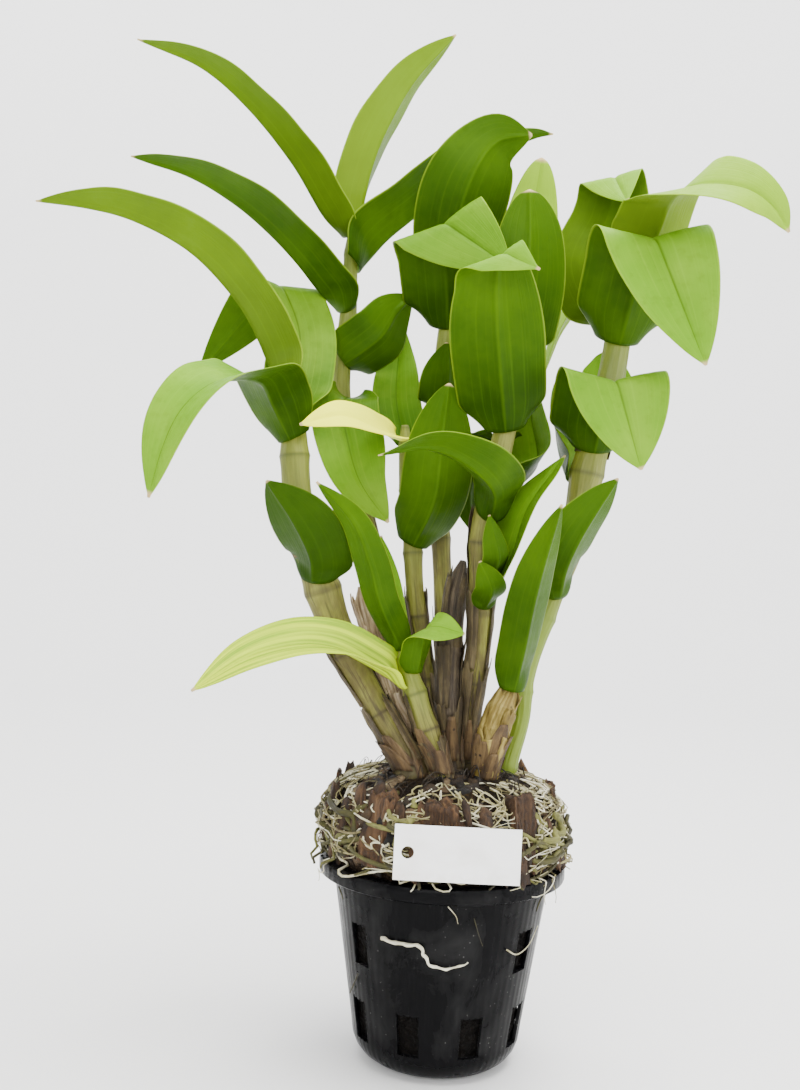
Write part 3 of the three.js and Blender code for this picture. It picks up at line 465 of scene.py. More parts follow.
class Finish:
    """A material made of nodes round one Principled shader."""

    def __init__(self, name, **constants):
        self.material = bpy.data.materials.new(name)
        self.material.use_nodes = True
        self.tree = self.material.node_tree
        self.shader = next(node for node in self.tree.nodes if node.type == "BSDF_PRINCIPLED")
        for label, value in constants.items():
            self.shader.inputs[label.replace("_", " ")].default_value = value

    def node(self, kind, settings, values, output=0):
        """A node with its settings made first, then its sockets by number or name, as one reading."""
        node = self.tree.nodes.new(kind)
        for label, value in settings.items():
            if label == "stops":
                self._stops(node.color_ramp, value)
            else:
                setattr(node, label, value)
        pairs = values.items() if isinstance(values, dict) else enumerate(values)
        for label, value in pairs:
            self._give(node.inputs[label], value)
        return Reading(self, node.outputs[output])

    def _stops(self, ramp, stops):
        while len(ramp.elements) < len(stops):
            ramp.elements.new(0.5)
        for element, (place, colour) in zip(ramp.elements, stops):
            element.position = place
            element.color = (*colour, 1)

    def _give(self, socket, value):
        if isinstance(value, Reading):
            self.tree.links.new(value.socket, socket)
        elif socket.type == "RGBA" and len(value) == 3:
            socket.default_value = (*value, 1)
        else:
            socket.default_value = value

    def place(self, stretch=(1, 1, 1)):
        """The point on the object in metres, stretched along each axis."""
        here = self.node("ShaderNodeTexCoord", {}, {}, "Object")
        return self.node("ShaderNodeVectorMath", dict(operation="MULTIPLY"), (here, stretch))

    def lengthwise(self, stretch=(1, 1)):
        """The piece's own map: across in x and along in y, stretched by the two numbers."""
        here = self.node("ShaderNodeUVMap", dict(uv_map="along"), {})
        return self.node("ShaderNodeVectorMath", dict(operation="MULTIPLY"), (here, (*stretch, 1)))

    def value(self, name):
        """A named value of the mesh's points."""
        return self.node("ShaderNodeAttribute", dict(attribute_name=name), {}, "Fac")

    def part(self, vector, axis):
        """One of a place's three numbers."""
        return self.node("ShaderNodeSeparateXYZ", {}, (vector,), axis)

    def noise(self, vector, scale, detail=3.0, rough=0.5, warp=0.0):
        """Soft noise from 0 to 1, with this many patches to the metre or to the map's unit."""
        return self.node("ShaderNodeTexNoise", {}, dict(Vector=vector, Scale=scale, Detail=detail,
                                                        Roughness=rough, Distortion=warp))

    def cells(self, vector, scale):
        """Distance from the middle of the nearest of many scattered cells."""
        return self.node("ShaderNodeTexVoronoi", {}, dict(Vector=vector, Scale=scale), "Distance")

    def between(self, value, low, high, start=0.0, end=1.0):
        """start below low, end above high, and a smooth step between."""
        return self.node("ShaderNodeMapRange", dict(interpolation_type="SMOOTHSTEP"),
                         (value, low, high, start, end))

    def blend(self, share, first, second):
        """One colour laid over another by a share from 0 to 1."""
        return self.node("ShaderNodeMix", dict(data_type="RGBA", clamp_factor=True),
                         {0: share, 6: first, 7: second}, 2)

    def ramp(self, value, *stops):
        """Colours run together between stops, each a value and its colour."""
        return self.node("ShaderNodeValToRGB", dict(stops=stops), (value,))

    def coat(self, colour, roughness, relief, depth, strength):
        """Puts the colour, the roughness and a relief of this depth in metres on the shader."""
        bump = self.node("ShaderNodeBump", {}, dict(Strength=strength, Distance=depth, Height=relief), "Normal")
        for label, value in (("Base Color", colour), ("Roughness", roughness), ("Normal", bump)):
            self._give(self.shader.inputs[label], value)
        return self.material


def leaf_finish(name, settings, pale=False):
    """Strap leaf: glaucous light green on the face turned to the cane, deeper green and glossier outside. The
    two faces differ partly in their own colour and partly by painted light on the inner face and painted shade
    on the outer.
    Long parallel veins, a midrib line darkened by painted shade on the inner face, a thin yellow-green margin,
    a foot darkened by painted shade, and painted shade and painted light laid on whole leaves one by one."""
    finish = Finish(name, IOR=1.4, Specular_IOR_Level=0.08)
    across = finish.part(finish.lengthwise(), 0)
    along = finish.part(finish.lengthwise(), 1)
    off_middle = abs(across * 2 - 1)
    face = finish.value("upper")
    veins = finish.noise(finish.lengthwise((30, 0.5)), 1.0, 2.0)
    fine = finish.noise(finish.lengthwise((110, 2.0)), 1.0, 3.0)
    patch = finish.noise(finish.place(), 34.0, 4.0)
    mottle = finish.noise(finish.place(), 260.0, 4.0, 0.6)
    # Painted shade: both faces darken towards the foot, near the cane
    outer = finish.blend(finish.between(along, 0.0, 0.8), settings.outer_foot, settings.outer)
    inner = finish.blend(finish.between(along, 0.05, 0.7), settings.inner_foot, settings.inner)
    # The inner face's lighter colour is partly painted light, the outer face's deeper colour partly painted
    # shade
    skin = finish.blend(face, outer, inner)
    glow = finish.blend(face, settings.outer_light, settings.inner_light)
    skin = finish.blend(finish.between(patch, 0.35, 0.75, 0.0, 0.45), skin, glow)
    skin = finish.blend(finish.between(veins, 0.5, 0.75, 0.0, 0.22), skin, glow)
    skin = finish.blend(finish.between(fine, 0.55, 0.8, 0.0, 0.16), skin, settings.shade)
    skin = finish.blend(finish.between(mottle, 0.5, 0.7, 0.0, 0.12), skin, settings.shade)
    # Midrib line: darker on the inner face, painted shade in its groove; paler on the outer face
    rib = finish.between(off_middle, 0.0, 0.05, 1.0, 0.0)
    skin = finish.blend(rib * mixed(0.3, 0.45, face), skin, finish.blend(face, glow, settings.shade))
    skin = finish.blend(finish.between(off_middle, 0.95, 0.99, 0.0, 0.35), skin, settings.margin)
    yellow = finish.noise(finish.lengthwise((9, 0.8)), 1.0, 3.0, 0.6)
    banded = finish.value("variegated") * finish.between(yellow, 0.36, 0.6)
    skin = finish.blend(banded, skin, settings.variegated)
    # Painted light: leaves with a sun share are lightened towards a bright yellow-green
    skin = finish.blend(finish.value("sun"), skin, settings.painted_sunlight)
    # Painted shade: leaves with a tone below 1 are darkened towards deep green
    skin = finish.blend(1 - finish.value("tone"), skin, settings.shade)
    if pale:
        skin = finish.blend(0.86, skin, settings.pale)
    dry = finish.between(along + finish.noise(finish.place(), 160.0) * 0.02, 0.985, 1.004)
    skin = finish.blend(dry, skin, settings.dry_tip)
    rough = finish.between(mottle, 0.3, 0.8, 0.36, 0.5) + face * 0.08
    relief = veins * 0.6 + fine * 0.3 + patch * 0.5
    return finish.coat(skin, rough, relief, 0.0005, 0.5)


def cane_finish(name, settings):
    """Living cane: olive skin with long streaks, pale waxy bloom, brown rings and papery grey remains."""
    finish = Finish(name, IOR=1.45)
    streak = finish.noise(finish.lengthwise((9, 1.3)), 1.0, 4.0, 0.6)
    thin = finish.noise(finish.lengthwise((34, 1.6)), 1.0, 3.0, 0.6)
    patch = finish.noise(finish.place((1, 1, 0.35)), 120.0, 4.0, 0.6)
    ring, old = finish.value("ring"), finish.value("age")
    skin = finish.blend(finish.between(streak, 0.3, 0.7), settings.skin, settings.bloom)
    skin = finish.blend(finish.between(thin, 0.5, 0.72, 0.0, 0.5), skin, settings.groove)
    skin = finish.blend(old * finish.between(patch, 0.36, 0.62), skin, settings.husk)
    rotten = old * finish.between(streak * 0.6 + thin * 0.4, 0.5, 0.62, 0.0, 0.9)
    skin = finish.blend(rotten, skin, settings.brown)
    skin = finish.blend(ring * 0.85, skin, settings.brown)
    skin = finish.blend(finish.value("green"), skin, settings.young)
    rough = finish.between(patch, 0.3, 0.7, 0.42, 0.6) + old * 0.2
    return finish.coat(skin, rough, thin * 0.7 + streak + patch * 0.5, 0.0009, 0.6)


def husk_finish(name, dark, mid, light):
    """Papery dead sheath: long fibres from dark to light, with brown blotches and small holes of wear."""
    finish = Finish(name, IOR=1.4)
    fibre = finish.noise(finish.lengthwise((16, 1.1)), 1.0, 5.0, 0.65)
    thin = finish.noise(finish.lengthwise((60, 2.2)), 1.0, 3.0, 0.6)
    blotch = finish.noise(finish.place((1, 1, 0.5)), 150.0, 4.0, 0.6)
    skin = finish.ramp(fibre * 0.65 + blotch * 0.35, (0.33, dark), (0.48, mid), (0.64, light))
    skin = finish.blend(finish.between(thin, 0.55, 0.75, 0.0, 0.55), skin, dark)
    worn = finish.between(finish.cells(finish.place(), 260.0), 0.1, 0.2, 0.9, 0.0)
    skin = finish.blend(worn * finish.between(blotch, 0.5, 0.6), skin, (0.006, 0.004, 0.003))
    rough = finish.between(fibre, 0.3, 0.7, 0.6, 0.82)
    return finish.coat(skin, rough, fibre + thin * 0.6 + blotch * 0.4, 0.0011, 0.75)


def root_finish(name, dark, mid, light):
    """Root: a velvety coat, lighter and darker along its length, with rubbed brown stretches."""
    finish = Finish(name, IOR=1.4)
    length = finish.noise(finish.lengthwise((2, 5)), 1.0, 3.0, 0.6)
    patch = finish.noise(finish.place(), 210.0, 4.0, 0.65)
    shade = finish.value("tone")
    skin = finish.ramp(patch * 0.45 + length * 0.25 + shade * 0.3, (0.3, dark), (0.5, mid), (0.7, light))
    return finish.coat(skin, finish.between(patch, 0.3, 0.7, 0.6, 0.85), patch + length * 0.4, 0.0006, 0.6)


def bark_finish(name, settings):
    """Pine bark: upright layers of red-brown cork, dark in the cracks and dusty on the ridges."""
    finish = Finish(name, IOR=1.4)
    layer = finish.noise(finish.place((1, 1, 0.16)), 300.0, 6.0, 0.65, 0.6)
    grain = finish.noise(finish.place((1, 1, 0.4)), 900.0, 4.0, 0.65)
    tone = finish.value("tone")
    skin = finish.ramp(layer * 0.7 + grain * 0.3, (0.34, settings.crack), (0.47, settings.bark),
                       (0.58, settings.ridge), (0.72, settings.dust))
    skin = finish.blend(finish.between(tone, 0.0, 1.0, 0.65, 0.0), skin, settings.crack)
    return finish.coat(skin, finish.between(grain, 0.3, 0.7, 0.7, 0.9), layer + grain * 0.4, 0.0016, 0.9)


def plastic_finish(name, settings):
    """Thin moulded black plastic: a soft sheen, fine upright scuffs, dusty smears and dried splashes."""
    finish = Finish(name, IOR=1.5, Specular_IOR_Level=0.05)
    scuff = finish.noise(finish.place((1, 1, 0.12)), 260.0, 5.0, 0.7)
    dust = finish.noise(finish.place((1, 1, 0.6)), 46.0, 6.0, 0.62, 0.5)
    speck = finish.cells(finish.place(), 420.0)
    x, y = (finish.part(finish.place(), axis) for axis in (0, 1))
    turn = finish.node("ShaderNodeMath", dict(operation="ARCTAN2"), (y, x))
    ribs = finish.node("ShaderNodeMath", dict(operation="SINE"), (turn * 72,))
    skin = finish.blend(finish.between(dust, 0.46, 0.74, 0.0, 0.5), settings.plastic, settings.dust)
    skin = finish.blend(finish.between(scuff, 0.6, 0.78, 0.0, 0.35), skin, settings.dust)
    skin = finish.blend(finish.between(speck, 0.0, 0.16, 0.5, 0.0) * finish.between(dust, 0.5, 0.6), skin,
                        settings.splash)
    rough = finish.between(dust, 0.4, 0.75, 0.22, 0.46) + finish.between(scuff, 0.55, 0.8, 0.0, 0.16)
    return finish.coat(skin, rough, dust * 0.7 + scuff * 0.2 + ribs * 0.12, 0.0007, 0.35)


# Pot

def pot_wall(height):
    """Outer radius of the pot: a quarter round at the foot, then straight out to the neck."""
    height = np.asarray(height, float)
    rounded = POT_BASE - POT_FILLET * (1 - np.sqrt(np.clip(1 - (1 - height / POT_FILLET) ** 2, 0, 1)))
    straight = POT_BASE + (POT_NECK - POT_BASE) * (height - POT_FILLET) / (POT_NECK_HEIGHT - POT_FILLET)
    return np.where(height < POT_FILLET, rounded, straight)


def pot_rows():
    """Radius and height of the outer wall and of the inner wall at the same rows, from the middle of the
    floor to the rolled lip, with rows at the edges of the slots."""
    heights = np.concatenate([[0, 0.4, 1.5, 3.5, 6, 9], [11, 15, 19, 23, 27], np.linspace(31, 38, 3),
                              [42, 46, 50, 54, 58], [62, 67, POT_NECK_HEIGHT]])
    wall = pot_wall(heights)
    outer = [(radius, 0.0) for radius in (6.0, 13.0, 19.0)] + list(zip(wall, heights))
    outer += [(43.6, 72.25), (46.3, 72.7), (48.4, 73.1), (49.2, 73.6), (49.5, 74.4), (49.5, 76.6),
              (49.45, 78.2), (49.1, 78.8), (48.4, 79.0), (46.2, 78.9)]
    floor = [(radius - 1.2, POT_FLOOR) for radius in (6.0, 13.0, 19.0)]
    inner_wall = []
    for radius, height in zip(wall, heights):
        height = max(height, POT_FLOOR + 0.3 * height / 3.5)
        thicker = POT_WALL if height < 6 else 0
        inner_wall.append((max(radius - POT_WALL, 0.86 * radius) - thicker, height))
    lip = [(41.9, 72.4), (42.0, 73.0), (42.1, 73.6), (42.3, 74.2), (42.5, 74.8), (42.9, 76.6), (43.3, 77.8),
           (43.6, 78.4), (43.9, 78.8), (44.3, 79.0)]
    return np.array(outer), np.array(floor + inner_wall + lip)


def make_pot(finish):
    """Both walls of the pot are carried round in steps of one degree. The cells of the slots are left out of
    both, and jambs join the walls round each slot."""
    outer, inner = pot_rows()
    rows, columns = len(outer), 360
    turn = np.radians(np.arange(columns))
    heights = outer[:, 1]
    solid = np.ones((rows - 1, columns), bool)
    for slots in (LOWER_SLOTS, UPPER_SLOTS):
        top = slots["bottom"] + slots["height"]
        tall = (heights[:-1] >= slots["bottom"] - 0.01) & (heights[1:] <= top + 0.01)
        for azimuth in slots["azimuths"]:
            away = (np.arange(columns) + 0.5 - azimuth + 180) % 360 - 180
            solid[np.ix_(tall, np.abs(away) < slots["half"])] = False
    walls = [round_axis(wall[:, :1], turn, wall[:, 1:]).reshape(-1, 3) for wall in (outer, inner)]
    quads = grid_faces(rows, columns, True)
    kept = quads[solid.ravel()]
    size = rows * columns
    faces = [kept, kept[:, ::-1] + size]
    row, column = np.nonzero(solid != np.roll(solid, 1, 1))
    here, above = row * columns + column, (row + 1) * columns + column
    jamb = np.stack([here, above, above + size, here + size], 1)
    faces.append(np.where(solid[row, column][:, None], jamb[:, ::-1], jamb)[:, ::-1])
    row, column = np.nonzero(solid[1:] != solid[:-1])
    start = (row + 1) * columns + column
    stop = (row + 1) * columns + (column + 1) % columns
    sill = np.stack([start, stop, stop + size, start + size], 1)
    faces.append(np.where(solid[row + 1, column][:, None], sill[:, ::-1], sill)[:, ::-1])
    around = np.arange(columns)
    following = (around + 1) % columns
    last, after = (rows - 1) * columns + around, (rows - 1) * columns + following
    faces.append(np.stack([last, after, after + size, last + size], 1))
    faces.append(np.stack([following, around, np.full(columns, 2 * size)], 1))
    faces.append(np.stack([size + around, size + following, np.full(columns, 2 * size + 1)], 1))
    grown = Grown()
    grown.add(np.vstack([*walls, [[0, 0, 0], [0, 0, POT_FLOOR]]]), faces)
    pot = grown.piece("pot_shell", finish, "pot_plastic", "pot", sharp=35)
    soften = pot.modifiers.new("moulded edges", "BEVEL")
    soften.width = 0.25 * MM
    soften.segments = 2
    soften.limit_method = "ANGLE"
    soften.angle_limit = math.radians(50)


# Potting mix, bark and roots

def ball_radius(turn, height):
    """Radius of the root ball: just inside the pot's wall, then a lumpy bulge that closes over the top."""
    inside = pot_wall(np.minimum(height, 70.0)) - 1.9
    heights = [74.0] + [row[0] for row in BALL_SHOULDER] + [BALL_TOP]
    radii = [POT_NECK - 2.6] + [row[1] * BALL_RADIUS for row in BALL_SHOULDER] + [0.0]
    above = np.interp(height, heights, radii)
    lumps = wavy(30 * np.cos(turn), 30 * np.sin(turn), height * 1.2, 15, 3)
    small = wavy(46 * np.cos(turn), 46 * np.sin(turn), height, 5, 5)
    rough = np.clip((height - 78) / 5, 0, 1) * (1.1 * lumps + 0.6 * small)
    return np.maximum(np.where(height < 72, inside - 0.6 - 0.6 * small, above + rough - 0.4), 0.3)


def make_mix(settings, finish_mix, finish_chip):
    """The ball of mix is its radius carried round and up. Hundreds of husk chips lie on it: each is a
    rounded block of 26 points, stretched, dented and turned by chance, half sunk into the surface."""
    turns, rows = 180, 96
    height = np.concatenate([np.linspace(3.2, 74, 34), np.linspace(76, 114.6, rows - 34)])
    turn = TURN * np.arange(turns) / turns
    radius = ball_radius(turn[None, :], height[:, None]) * (1 - 0.35 * (height[:, None] < 5))
    points = round_axis(radius, turn, height[:, None])
    grown = Grown()
    closed = np.vstack([points.reshape(-1, 3), [[0, 0, 2.9], [0, 0, 114.8]]])
    grown.add(closed, capped_tube(rows, turns))
    grown.piece("root_ball_mix", finish_mix, "potting_mix", "root_ball")

    chance = np.random.default_rng(17)
    count = settings.chips
    turn = chance.uniform(0, TURN, count)
    height = np.where(chance.random(count) < 0.72, 80 + 34.5 * chance.random(count) ** 0.6,
                      chance.uniform(12, 60, count))
    radius = ball_radius(turn, height)
    dome = height > 108
    radius = np.where(dome, radius * np.sqrt(chance.random(count)), radius)
    height = np.where(dome, np.interp(radius, [0, 24, 36, 43], [114.6, 113.8, 111.4, 106.5]), height)
    normal = unit(np.stack([np.cos(turn), np.sin(turn), np.clip((height - 96) / 12, 0, 3) ** 1.5], -1))
    stretch = chance.uniform((1.5, 1.0, 0.5), (4.2, 2.6, 1.5), (count, 3))
    stretch[height < 70] *= 0.6
    first = unit(np.cross(normal, chance.normal(size=(count, 3))))
    second = np.cross(normal, first)
    tipped = unit(normal + 0.45 * chance.normal(size=(count, 3)))
    centre = round_axis(radius, turn, height) - normal * np.where(height < 74, 1.9, 0.5)[:, None]
    lay_blocks("husk_chips", finish_chip, "potting_mix", centre, (first, second, tipped), stretch, 0.2, chance)


def lay_blocks(name, finish, slot, centre, axes, stretch, dent, chance):
    """One piece of many rounded blocks: each is stretched along its three axes and dented by chance."""
    count = len(centre)
    local = BLOCK_POINTS * stretch[:, None] * (1 + dent * chance.normal(size=(count, 26, 3)))
    points = centre[:, None] + sum(local[..., k:k + 1] * axis[:, None] for k, axis in enumerate(axes))
    turned = np.sum(np.cross(axes[0], axes[1]) * axes[2]) < 0
    faces = (BLOCK_FACES[:, ::-1] if turned else BLOCK_FACES) + 26 * np.arange(count)[:, None, None]
    grown = Grown()
    grown.add(points, [faces.reshape(-1, 4)], tone=np.repeat(chance.random(count), 26))
    grown.piece(name, finish, slot)


def make_slivers(settings, finish):
    """Upright splinters of bark packed round the ball between the big chunks: the same rounded blocks,
    drawn out to tall thin pieces and set on edge in the ball's side."""
    chance = np.random.default_rng(71)
    count = settings.slivers
    turn = TURN * (np.arange(count) + chance.uniform(0, 0.9, count)) / count
    height = chance.uniform(86, 104, count)
    stretch = chance.uniform((1.2, 0.9, 5.0), (3.4, 1.8, 11.0), (count, 3))
    outward = np.stack([np.cos(turn), np.sin(turn), turn * 0], -1)
    aside = np.stack([-np.sin(turn), np.cos(turn), turn * 0], -1)
    upright = unit(np.array([0, 0, 1]) - 0.16 * outward + 0.12 * chance.normal(size=(count, 1)) * aside)
    radius = ball_radius(turn, height) + chance.uniform(-0.9, 0.9, count)
    lay_blocks("bark_slivers", finish, "bark", round_axis(radius, turn, height), (aside, outward, upright),
               stretch, 0.14, chance)


def make_tangle(finish):
    """Dead rootlets that stick up from the top of the ball among the canes: short arcs that rise, bend over
    and come down again."""
    chance = np.random.default_rng(83)
    count, rows = 150, 14
    share = np.linspace(0, 1, rows)[None]
    turn = chance.uniform(0, TURN, (count, 1))
    near = 42 * np.sqrt(chance.uniform(0.02, 1, (count, 1)))
    heading = chance.uniform(0, TURN, (count, 1))
    length = chance.uniform(6, 17, (count, 1))
    rise = chance.uniform(1.5, 7.5, (count, 1))
    x = near * np.cos(turn) + length * share * np.cos(heading + share * chance.uniform(-1.5, 1.5, (count, 1)))
    y = near * np.sin(turn) + length * share * np.sin(heading + share * chance.uniform(-1.5, 1.5, (count, 1)))
    out = np.hypot(x, y)
    ground = np.interp(out, [0, 22, 34, 42, 46, 50], [114.6, 113.5, 111, 106, 100, 92])
    height = ground - 0.6 + rise * np.sin(math.pi * np.minimum(share * 1.15, 1))
    paths = np.stack([x, y, height], -1)
    radii = chance.uniform(0.14, 0.34, (count, 1)) * (1 - 0.5 * share)
    grown = Grown()
    strands(paths, radii, 5, grown, tone=chance.random(count) * 0.5)
    grown.piece("dead_rootlets", finish, "olive_root")


def block_points():
    """The 26 outer points of a 3 by 3 by 3 block, drawn in towards a ball by half."""
    steps = np.array([-1.0, 0.0, 1.0])
    cube = np.stack(np.meshgrid(steps, steps, steps, indexing="ij"), -1).reshape(-1, 3)
    cube = np.delete(cube, 13, 0)
    return cube * (0.55 + 0.45 / np.linalg.norm(cube, axis=1, keepdims=True))


def block_faces():
    """The 24 quads of that block: on each of its six sides, the four squares between nine points."""
    number = np.arange(27).reshape(3, 3, 3)
    number = np.where(number > 13, number - 1, number)
    quads = []
    for axis in range(3):
        for end in (0, 2):
            side = np.take(number, end, axis)
            square = np.stack([side[:-1, :-1], side[1:, :-1], side[1:, 1:], side[:-1, 1:]], -1).reshape(-1, 4)
            flip = (end == 0) != (axis == 1)
            quads.append(square[:, ::-1] if flip else square)
    return np.concatenate(quads)


BLOCK_POINTS, BLOCK_FACES = block_points(), block_faces()


def signed_power(value, amount):
    """The size of a value raised to a power, with the sign it had."""
    return np.sign(value) * np.abs(value) ** amount


def make_bark(finish):
    """Each chunk is a rounded block: the points of a sphere with every cosine and sine raised to a small
    power, then stretched, split by upright ridges, leant out and turned to its place."""
    rows, columns = 60, 72
    around = TURN * np.arange(columns) / columns
    up = np.linspace(-0.492, 0.492, rows)[:, None] * math.pi
    for index, (azimuth, bottom, width, height) in enumerate(BARK):
        x = signed_power(np.cos(up), 0.22) * signed_power(np.cos(around), 0.35) * width / 2
        y = signed_power(np.cos(up), 0.22) * signed_power(np.sin(around), 0.35) * BARK_THICK / 2
        z = np.broadcast_to(signed_power(np.sin(up), 0.35) * height / 2, x.shape).copy()
        z = z + 1.6 * wavy(x, y, z * 0, 5, 40 + index) * np.abs(np.sin(up)) ** 3
        ridges = 0.9 * wavy(x * 2.4, y * 2.4, z * 0.25, 8, 50 + index)
        ridges = ridges + 0.5 * wavy(x, y, z * 0.5, 2.2, 60 + index)
        shrink = 1 - 0.12 * np.abs(z) / height
        x = x * shrink + 0.8 * np.sin(z / 5) + 0.35 * ridges * np.sign(x)
        y = y + 0.6 * np.cos(z / 6 + x / 3) + 0.75 * ridges * np.sign(y)
        lean = math.radians(BARK_LEAN)
        y, z = y * math.cos(lean) + z * math.sin(lean), z * math.cos(lean) - y * math.sin(lean)
        y, z = y - BALL_RADIUS + 4.2, z + bottom + height / 2
        swing = math.radians(azimuth)
        points = np.stack([x * math.cos(swing) - y * math.sin(swing),
                           x * math.sin(swing) + y * math.cos(swing), z], -1)
        poles = points[[0, -1]].mean(1)
        grown = Grown()
        grown.add(np.vstack([points.reshape(-1, 3), poles]), capped_tube(rows, columns), tone=BARK_TONES[index])
        grown.piece(f"bark_chunk_{index + 1}", finish, "bark", f"bark_{index + 1}")


def root_paths(chance, count, start, stop, sway, lift, crowd, rows=26):
    """Paths over the ball: height falls from start to stop while the azimuth wanders by a sum of two waves,
    and each point stands off the ball by its lift plus a slow wave. A crowd below 1 leaves the front sparse
    and above 1 fills it. Three of four run behind the chunks of bark."""
    share = np.linspace(0, 1, rows)[None]
    spread = chance.uniform(-1, 1, (count, 1))
    turn = -math.pi / 2 + math.pi * np.sign(spread) * np.abs(spread) ** crowd
    high = chance.uniform(*start, (count, 1))
    low = chance.uniform(*stop, (count, 1))
    phase = chance.uniform(0, TURN, (count, 4))
    height = high + (low - high) * share ** 1.1
    height = height + 2.2 * np.sin(share * 9 + phase[:, :1]) + 1.2 * np.sin(share * 21 + phase[:, 1:2])
    turn = turn + chance.uniform(-1, 1, (count, 1)) * math.radians(sway) * share
    turn = turn + 0.10 * np.sin(share * 8 + phase[:, 2:3]) + 0.05 * np.sin(share * 19 + phase[:, 3:4])
    height = np.minimum(height, ROOT_TOP)
    off = chance.uniform(*lift, (count, 1)) + 0.9 * np.sin(share * 13 + phase[:, 1:2])
    over_lip = np.maximum(ball_radius(turn, np.full_like(turn, 81.0)), LIP_OUT)
    radius = np.where(height < LIP_LEVEL, over_lip, ball_radius(turn, height))
    behind = np.zeros_like(turn, bool)
    for azimuth, foot, wide, tall in BARK:
        aside = (turn - math.radians(azimuth - 90) + math.pi) % TURN - math.pi
        behind |= (np.abs(aside) * BALL_RADIUS < wide / 2) & (height > foot) & (height < foot + tall - 2)
    behind &= chance.random((count, 1)) < 0.75
    return round_axis(radius + np.where(behind, -3.0, np.maximum(off, 0.1)), turn, height)


def make_roots(settings, olive, pale):
    """Two nets of roots over the ball, thicker olive ones under many fine pale ones. Some hang over the lip.
    Each lot has its count, heights at start and stop, sway in degrees, lift, thickness and crowd."""
    chance = np.random.default_rng(11)
    for name, finish, node, slot, lots in (
        ("roots_olive_net", olive, "roots_olive", "olive_root",
         ((settings.olive_roots, (96, 113), (80, 90), 80, (0.6, 3.4), (0.75, 1.35), 0.62),
          (settings.olive_roots // 3, (84, 104), (80, 100), 150, (0.4, 2.6), (0.7, 1.2), 0.62))),
        ("roots_pale_net", pale, "roots_pale", "pale_root",
         ((settings.pale_roots, (90, 113.4), (80, 94), 70, (0.6, 3.2), (0.18, 0.5), 0.62),
          (settings.pale_roots // 2, (82, 106), (80, 104), 150, (0.6, 3.6), (0.18, 0.45), 0.62),
          (settings.pale_roots, (109, 113.4), (100, 112), 90, (0.6, 3.4), (0.16, 0.42), 0.62),
          (settings.pale_roots // 3, (103, 113.4), (97, 107), 45, (0.5, 2.8), (0.16, 0.4), 1.7),
          (settings.pale_roots // 8, (80.5, 83), (80, 82), 60, (0.2, 1.4), (0.3, 0.6), 0.9),
          (settings.pale_roots // 8, (88, 100), (70, 79), 25, (1.0, 2.6), (0.2, 0.42), 0.62))),
    ):
        grown = Grown()
        for count, start, stop, sway, lift, thick, crowd in lots:
            paths = root_paths(chance, count, start, stop, sway, lift, crowd)
            share = np.linspace(0, 1, paths.shape[1])
            radii = chance.uniform(*thick, (count, 1)) * (1 - 0.55 * share ** 3)
            radii = radii * (1 + 0.12 * np.sin(share * 40 + chance.uniform(0, TURN, (count, 1))))
            strands(paths, radii, 7, grown, tone=chance.random(count))
        grown.piece(name, finish, slot, node)


def wall_path(route, count, off):
    """A path along the pot's wall: the route gives the distance from the front and the height."""
    along, height = np.array(route, float).T
    radius = pot_wall(height) + off
    turn = along / radius - math.pi / 2
    return smooth_path(round_axis(radius, turn, height), count)[0]


def make_wall_roots(pale, olive):
    """The white root that clings to the pot's front, thin pale roots beside it, and short dark rootlets."""
    grown = Grown()
    main = wall_path(WALL_ROOT, 60, 1.1)
    share = np.linspace(0, 1, 60)
    main = main + 0.25 * np.stack([np.sin(share * 60), np.cos(share * 47), np.sin(share * 38)], 1)
    strands(main[None], (0.7 - 0.4 * share ** 2 + 0.1 * np.sin(share * 50))[None], 10, grown, tone=[1.0])
    for route, thick in WALL_ROOTLETS:
        path = wall_path(route, 40, 0.75)
        strands(path[None], np.linspace(thick, thick * 0.4, 40)[None], 7, grown, tone=[0.7])
    grown.piece("root_on_pot_front", pale, "pale_root", "root_on_pot")
    grown = Grown()
    for route, thick in DARK_ROOTLETS:
        path = wall_path(route, 30, 0.9)
        strands(path[None], np.linspace(thick, thick * 0.5, 30)[None], 6, grown, tone=[0.1])
    grown.piece("rootlets_dark", olive, "olive_root")


# Canes and their husks

def cane_line(name, count):
    """Axis points and radius of a cane at even distances. The foot goes on down into the root ball."""
    cane = CANES[name]
    points, radii = list(cane["at"]), list(cane["radius"])
    foot = [points[0][0], points[0][1], points[0][2] - CANE_SINK]
    points, radii = [foot] + points, [radii[0] * 0.8] + radii
    axis, share = smooth_path(points, count)
    return axis, np.interp(share * (len(radii) - 1), np.arange(len(radii)), radii)


